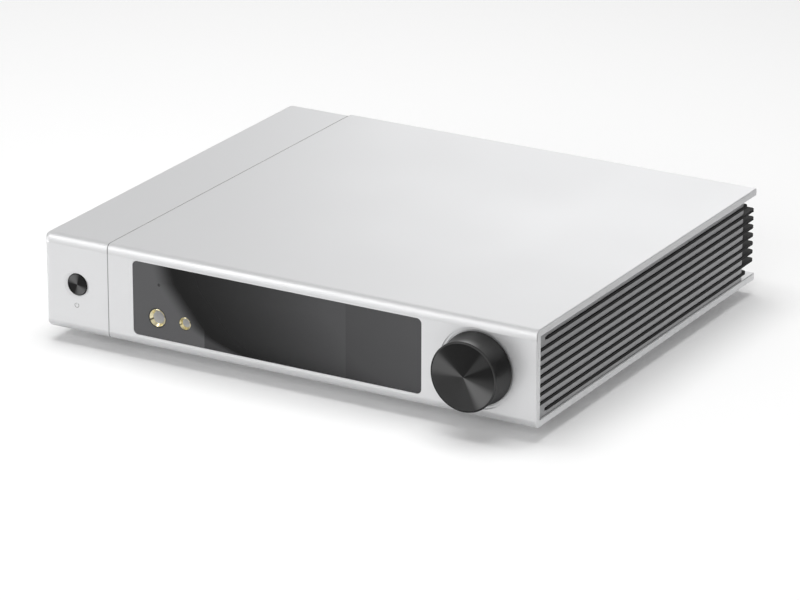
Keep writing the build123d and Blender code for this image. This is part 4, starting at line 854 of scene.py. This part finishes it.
@dataclass(frozen=True)
class PowerButton:
    """The small round button of the power pod and the symbol printed under it."""

    x: float = -125.8 * MM
    z: float = 34.0 * MM
    face: float = -116.25 * MM
    radius: float = 5.95 * MM
    chamfer: float = 0.3 * MM
    flange_radius: float = 7.6 * MM
    flange_front: float = -112.8 * MM
    flange_back: float = -111.6 * MM
    stem_radius: float = 1.6 * MM
    stem_end: float = -108.0 * MM
    dish: float = 0.08 * MM
    rounds: tuple[float, ...] = (0.1 * MM, 0.1 * MM, 0.2 * MM, 0.2 * MM, 0.2 * MM, 0.2 * MM)
    face_points: int = 10
    sides: int = 96
    symbol_z: float = 22.9 * MM
    symbol_radius: float = 1.25 * MM
    symbol_line: float = 0.32 * MM
    symbol_gap: float = 42.0
    symbol_rise: float = 0.02 * MM
    symbol_points: int = 49
    stroke_span: Span = (0.25, 1.1)

    def outline(self) -> Points:
        """Return the turned outline: a dished face, a chamfered rim, the flange and the stem."""
        flat = self.radius - self.chamfer
        rest = rounded(
            [(flat, self.face), (self.radius, self.face + self.chamfer), (self.radius, self.flange_front),
             (self.flange_radius, self.flange_front), (self.flange_radius, self.flange_back),
             (self.stem_radius, self.flange_back), (self.stem_radius, self.stem_end), (0, self.stem_end)],
            self.rounds, steps=3)
        return np.concatenate([dished_face(flat, self.face, self.dish, self.face_points), rest[1:]])

    def build(self) -> None:
        """Make the button and the symbol."""
        piece = turned_piece("button_turning", self.outline(), self.x, self.z, self.sides)
        face = (0.0, self.radius - self.chamfer)
        # Two painted highlights fanned across the face.
        painted_fans = (PaintedSheenFan(126, 58, 6, 4.6, face), PaintedSheenFan(302, 60, 6, 4.4, face))
        finish = replace(SPUN_DARK, name="spun_button_painted_sheen", colour=grey(0.17), scale=12000.0, depth=8e-7,
                         centre=(self.x, 0.0, self.z), painted_fans=painted_fans)
        place_piece(piece, "power_button", "button_grey", finish, "power_button")
        self.print_symbol()

    def print_symbol(self) -> None:
        """Print the broken ring and its stroke on the pod's front, as thin flat bands of ink."""
        half = self.symbol_line / 2
        section = np.array([(-half, 0), (half, 0), (half, self.symbol_rise), (-half, self.symbol_rise)])
        gap = math.radians(self.symbol_gap)
        angle = math.pi / 2 + np.linspace(gap, 2 * math.pi - gap, self.symbol_points)
        around = np.stack([np.cos(angle), np.zeros_like(angle), np.sin(angle)], axis=1)
        middle = np.array([self.x, FRONT_FACE, self.symbol_z])
        low, high = self.stroke_span
        stroke = np.array([(0, 0, low), (0, 0, high)]) * self.symbol_radius + middle
        bands = (("power_symbol_ring", middle + around * self.symbol_radius, around),
                 ("power_symbol_bar", stroke, np.tile([1.0, 0, 0], (2, 1))))
        for name, path, across in bands:
            piece = make_piece(name, *band_along(path, across, section))
            place_piece(piece, CHASSIS, "tape", PRINT_GREY)


@dataclass(frozen=True)
class PhonoInserts:
    """The plastic inserts of the phono sockets, each in the colour of its channel."""

    z: float = 25.7 * MM
    front: float = 119.75 * MM
    rim: float = 129.75 * MM
    bore_floor: float = 122.15 * MM
    radius: float = 3.3 * MM
    bore: float = 1.65 * MM
    rounds: tuple[float, ...] = (0.2 * MM, 0.3 * MM, 0.2 * MM, 0.1 * MM)
    sides: int = 48
    channels: tuple[tuple[str, float, Finish], ...] = (
        ("digital", -6.67 * MM, ORANGE_PLASTIC),
        ("right", 83.18 * MM, RED_PLASTIC),
        ("left", 104.75 * MM, WHITE_PLASTIC),
    )

    def outline(self) -> Points:
        """Return the turned outline of one insert: a rounded rim round a blind bore."""
        return rounded(
            [(0, self.front), (self.radius, self.front), (self.radius, self.rim), (self.bore, self.rim),
             (self.bore, self.bore_floor), (0, self.bore_floor)],
            self.rounds, steps=3)

    def build(self) -> None:
        """Make the digital, left and right inserts."""
        for channel, x, finish in self.channels:
            piece = turned_piece(f"phono_insert_{channel}", self.outline(), x, self.z, self.sides)
            place_piece(piece, CHASSIS, "white_plastic", finish, "phono_inserts")


@dataclass(frozen=True)
class SmokedGlass:
    """The dark glass over the display and the jacks.

    A paler zone over the jacks, partly a paler print and partly painted reflection, ends at a slanting edge,
    which bends away at the top and the bottom.  Past it a painted reflection starts dark and rises towards
    the right, and the screen's two upright edges show faintly.

    Attributes:
        left: Left edge of the pane, as low and high are its lower and upper edges.
        screen: Left and right edges of the screen that shows through.
        start: How far the paler zone's edge lies from the left at the top, before it bends.
        slant: How far it moves right for each unit down.
        foot: Height, reach and power of its bend at the bottom.
        crown: Height and reach of its bend at the top.
        print_and_reflection_span: Distances past the edge between which the paler zone fades out.
        dim: Factor on the paler zone over the screen.
        reflection_rises: Spans past the edge and the display tones at their ends, which add up: the painted
            reflection.
        step: Fall of the tone past the screen.
        blur: Half the width of the screen's edges.
        gamma: Power that turns a display tone into a linear one.
        mirrored: Light that the glossy surface adds to the tone behind it.
        gain: Factor on the tone, as an upright front gets less light than a level top.
    """

    left: float = -90.7 * MM
    low: float = 13.9 * MM
    high: float = 54.1 * MM
    screen: Span = (-47.7 * MM, 36.3 * MM)
    start: float = 18.6 * MM
    slant: float = 0.82
    foot: tuple[float, float, float] = (13.0 * MM, 19.0 * MM, 2.5)
    crown: Span = (9.0 * MM, 4.5 * MM)
    print_and_reflection_span: Span = (-13.0 * MM, 9.0 * MM)
    print_and_reflection_tone: float = 0.375
    dim: float = 0.75
    reflection_rises: tuple[tuple[float, float, float, float], ...] = (
        (0.0, 90.0 * MM, 0.135, 0.325),
        (90.0 * MM, 140.0 * MM, 0.0, 0.04),
    )
    step: float = 0.022
    blur: float = 0.1 * MM
    gamma: float = 2.2
    mirrored: float = 0.013
    gain: float = 1.05
    blueness: float = 1.03
    gloss: Span = (0.035, 0.075)
    gloss_scale: float = 55.0
    specular: float = 0.2

    def past_edge(self, graph: Graph, across: object, up: object) -> Socket:
        """Return how far right of the paler zone's edge each point is.

        Args:
            graph: Tree to work in.
            across: The point's place along X.
            up: Its place along Z.

        Returns:
            The distance, negative left of the edge.
        """
        foot_height, foot_reach, foot_power = self.foot
        crown_height, crown_reach = self.crown
        foot = graph.remap(up, self.low, self.low + foot_height, 1.0, 0.0, smooth=False)
        crown = graph.remap(up, self.high - crown_height, self.high, 0.0, crown_reach, smooth=False)
        bend = graph.maths("MULTIPLY_ADD", graph.maths("POWER", foot, foot_power), foot_reach, crown)
        fallen = graph.maths("SUBTRACT", self.high, up)
        line = graph.maths("MULTIPLY_ADD", fallen, self.slant, self.left + self.start)
        return graph.maths("SUBTRACT", across, graph.maths("ADD", line, bend))

    def tone(self, graph: Graph) -> Socket:
        """Return the display tone of each point, with the painted reflection, made in the given graph."""
        across, _, up = graph.parts(graph.place())
        past = self.past_edge(graph, across, up)
        screen_left, screen_right = self.screen
        first, second = (graph.remap(past, *rise, smooth=False) for rise in self.reflection_rises)
        # Paler zone over the jacks: partly a paler print, partly painted reflection.
        haze = graph.remap(past, *self.print_and_reflection_span, self.print_and_reflection_tone, 0.0)
        kept = graph.remap(across, screen_left - self.blur, screen_left + self.blur, 1.0, self.dim)
        beyond = graph.remap(across, screen_right - self.blur, screen_right + self.blur, 0.0, self.step)
        brighter = graph.maths("MAXIMUM", graph.maths("ADD", first, second), graph.product(haze, kept))
        return graph.maths("SUBTRACT", brighter, beyond)

    def build(self, frame: dict) -> None:
        """Give the loaded frame's glass solid its finish, with a reflection painted into its colour."""
        material, graph, shader = new_material("smoked_glass_painted_reflection")
        seen = graph.maths("SUBTRACT", graph.maths("POWER", self.tone(graph), self.gamma), self.mirrored)
        level = graph.maths("MULTIPLY", seen, self.gain, clamp=True)
        tint_and_reflection = graph.add("CombineColor", {0: level, 1: level, 2: graph.product(level, self.blueness)})
        smear = graph.noise(graph.place(), self.gloss_scale, 3.0)
        graph.feed_all(shader, {
            "Base Color": tint_and_reflection.outputs[0],
            "Roughness": graph.remap(smear, *NOISE_SPAN, *self.gloss),
            "Specular IOR Level": self.specular,
        })
        material.diffuse_color = linear(grey(0.2))
        dress(frame["nodes"]["display_glass"], material)
        LOG.info("display_glass dressed as smoked glass")


# Studio


@dataclass(frozen=True)
class Softbox:
    """One flat studio lamp.

    Attributes:
        name: Name of the lamp.
        place: Where it stands.
        aim: Point that it faces.
        size: Width and height.
        radiance: Brightness of its face, where 1 renders as white.
        mirrored: Whether metal and glass show it.
        soft: Whether it lights matt surfaces and the floor.
    """

    name: str
    place: Place
    aim: Place
    size: Span
    radiance: float
    mirrored: bool = True
    soft: bool = False

    def build(self) -> None:
        """Hang the lamp."""
        lamp = bpy.data.lights.new(self.name, "AREA")
        lamp.shape = "RECTANGLE"
        lamp.size, lamp.size_y = self.size
        lamp.energy = self.radiance * math.pi * self.size[0] * self.size[1]
        holder = bpy.data.objects.new(self.name, lamp)
        holder.location = self.place
        away = np.asarray(self.place) - np.asarray(self.aim)
        holder.rotation_mode = "XYZ"
        flat = math.hypot(away[0], away[1])
        holder.rotation_euler = (math.atan2(flat, away[2]), 0.0, math.atan2(away[1], away[0]) + math.pi / 2)
        holder.visible_glossy = self.mirrored
        holder.visible_diffuse = self.soft
        bpy.context.scene.collection.objects.link(holder)


@dataclass(frozen=True)
class Studio:
    """Pale studio: the photograph's camera, a white floor, an even sky and soft lamps.

    The card's span is its ends along Y and its height.  Each darker lobe of the sky has its direction,
    the cosines between which it sets in and its change of brightness.
    """

    camera_target: Place = (-0.0031, 0.00725, 0.00856)
    camera_back: Place = (0.46516, -0.81310, 0.35000)
    camera_distance: float = 2.4161
    camera_roll: float = 0.1
    camera_reach: float = 20.0
    lens: float = 204.70
    sensor: float = 36.0
    floor_half: float = 6.0
    floor_level: float = 0.93
    floor_lift: float = 0.08
    card_x: float = 0.26
    card_span: tuple[float, float, float] = (-0.7, 1.2, 0.13)
    card_tone: float = 0.2
    sky_level: float = 0.89
    sky_fill: float = 0.36
    sky_lobes: tuple[tuple[Place, float, float, float], ...] = (
        ((-0.1, 0.25, 0.95), 0.5, 0.95, -0.45),
        ((0.7, 0.7, 0.0), 0.55, 0.95, -0.75),
    )
    lamps: tuple[Softbox, ...] = (
        Softbox("key", (-0.1, 0.02, 1.6), (0.0, 0.0, 0.0), (1.15, 1.4), 3.9, False, True),
        Softbox("front_fill", (0.1, -1.4, 0.7), (0.0, -0.1, 0.03), (1.4, 0.8), 1.9, False, True),
        Softbox("left_strip", (-1.39, -0.57, 0.25), (0.0, -0.05, 0.03), (0.4, 0.5), 7.0),
        Softbox("front_high", (-0.75, -0.72, 1.25), (0.0, -0.1, 0.03), (0.8, 0.5), 2.8),
        Softbox("back_low", (-0.15, 1.3, 0.5), (0.0, 0.1, 0.03), (1.2, 0.8), 0.95),
    )

    def build(self) -> None:
        """Set the camera, the floor, the card, the sky and the lamps."""
        self.place_camera()
        self.lay_floor()
        self.stand_card()
        self.fill_sky()
        for lamp in self.lamps:
            lamp.build()
        bpy.context.scene.view_settings.view_transform = "Standard"

    def place_camera(self) -> None:
        """Stand the camera where the photograph was taken from."""
        data = bpy.data.cameras.new("photograph_camera")
        data.lens = self.lens
        data.sensor_width = self.sensor
        data.clip_end = self.camera_reach
        camera = bpy.data.objects.new("photograph_camera", data)
        back = np.asarray(self.camera_back) / np.linalg.norm(self.camera_back)
        camera.location = np.asarray(self.camera_target) + back * self.camera_distance
        camera.rotation_mode = "XYZ"
        camera.rotation_euler = (math.acos(back[2]), 0.0, math.atan2(back[1], back[0]) + math.pi / 2)
        camera.rotation_euler.rotate_axis("Z", math.radians(self.camera_roll))
        bpy.context.scene.collection.objects.link(camera)
        bpy.context.scene.camera = camera

    def lay_floor(self) -> None:
        """Lay a white floor that keeps the object's shadow."""
        half = self.floor_half
        points = np.array([(-half, -half, 0), (half, -half, 0), (half, half, 0), (-half, half, 0)])
        floor = make_piece("studio_floor", points, [[0, 1, 2, 3]])
        material, graph, _ = new_material("studio_floor")
        graph.tree.nodes.clear()
        plain = graph.add("BsdfDiffuse", {"Color": (self.floor_level,) * 3 + (1.0,)})
        path = graph.add("LightPath").outputs
        mirrored = graph.maths("MAXIMUM", path["Is Glossy Ray"], path["Is Transmission Ray"])
        seen = graph.maths("MAXIMUM", path["Is Camera Ray"], mirrored)
        lift = graph.add("Emission", {"Strength": graph.product(seen, self.floor_lift)})
        both = graph.add("AddShader", {0: plain.outputs[0], 1: lift.outputs[0]})
        graph.add("OutputMaterial", {"Surface": both.outputs[0]})
        dress(floor, material)

    def stand_card(self) -> None:
        """Stand a dark card to the right, seen only as a mirror image, so that the metal has contrast."""
        near, far, top = self.card_span
        points = np.array([(self.card_x, near, 0), (self.card_x, far, 0), (self.card_x, far, top),
                           (self.card_x, near, top)])
        card = make_piece("studio_card", points, [[3, 2, 1, 0]])
        material, graph, shader = new_material("studio_card")
        graph.feed_all(shader, {"Base Color": linear(grey(self.card_tone)), "Roughness": 1.0})
        dress(card, material)
        card.visible_camera = False
        card.visible_diffuse = False
        card.visible_shadow = False

    def fill_sky(self) -> None:
        """Fill the sky with even light that turns darker overhead and at the back right."""
        world = bpy.data.worlds.new("studio_sky")
        bpy.context.scene.world = world
        world.use_nodes = True
        world.node_tree.nodes.clear()
        graph = Graph(world.node_tree)
        way = graph.add("TexCoord").outputs["Generated"]
        level: object = self.sky_level
        for direction, low, high, change in self.sky_lobes:
            unit = tuple(np.asarray(direction) / np.linalg.norm(direction))
            towards = graph.vector("DOT_PRODUCT", way, unit)
            level = graph.maths("ADD", level, graph.remap(towards, low, high, 0.0, change))
        path = graph.add("LightPath").outputs
        mirrored = graph.maths("MAXIMUM", path["Is Glossy Ray"], path["Is Transmission Ray"])
        fill = graph.add("Mix", {0: mirrored, 2: self.sky_fill, 3: level}, data_type="FLOAT").outputs[0]
        strength = graph.add("Mix", {0: path["Is Camera Ray"], 2: fill, 3: 1.0}, data_type="FLOAT")
        sky = graph.add("Background", {"Strength": strength.outputs[0]})
        graph.add("OutputWorld", {"Surface": sky.outputs[0]})


def main() -> None:
    """Load the frame, make and dress every piece, and set the studio around them."""
    logging.basicConfig(level=logging.INFO, format="%(name)s: %(message)s")
    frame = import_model()
    for finish, nodes in FINISHED_NODES.items():
        for node in nodes:
            dress(frame["nodes"][node], finish.material())
            LOG.info("%s dressed as %s", node, finish.name)
    VolumeKnob().build()
    PowerButton().build()
    PhonoInserts().build()
    SmokedGlass().build(frame)
    Studio().build()


if __name__ == "__main__":
    main()
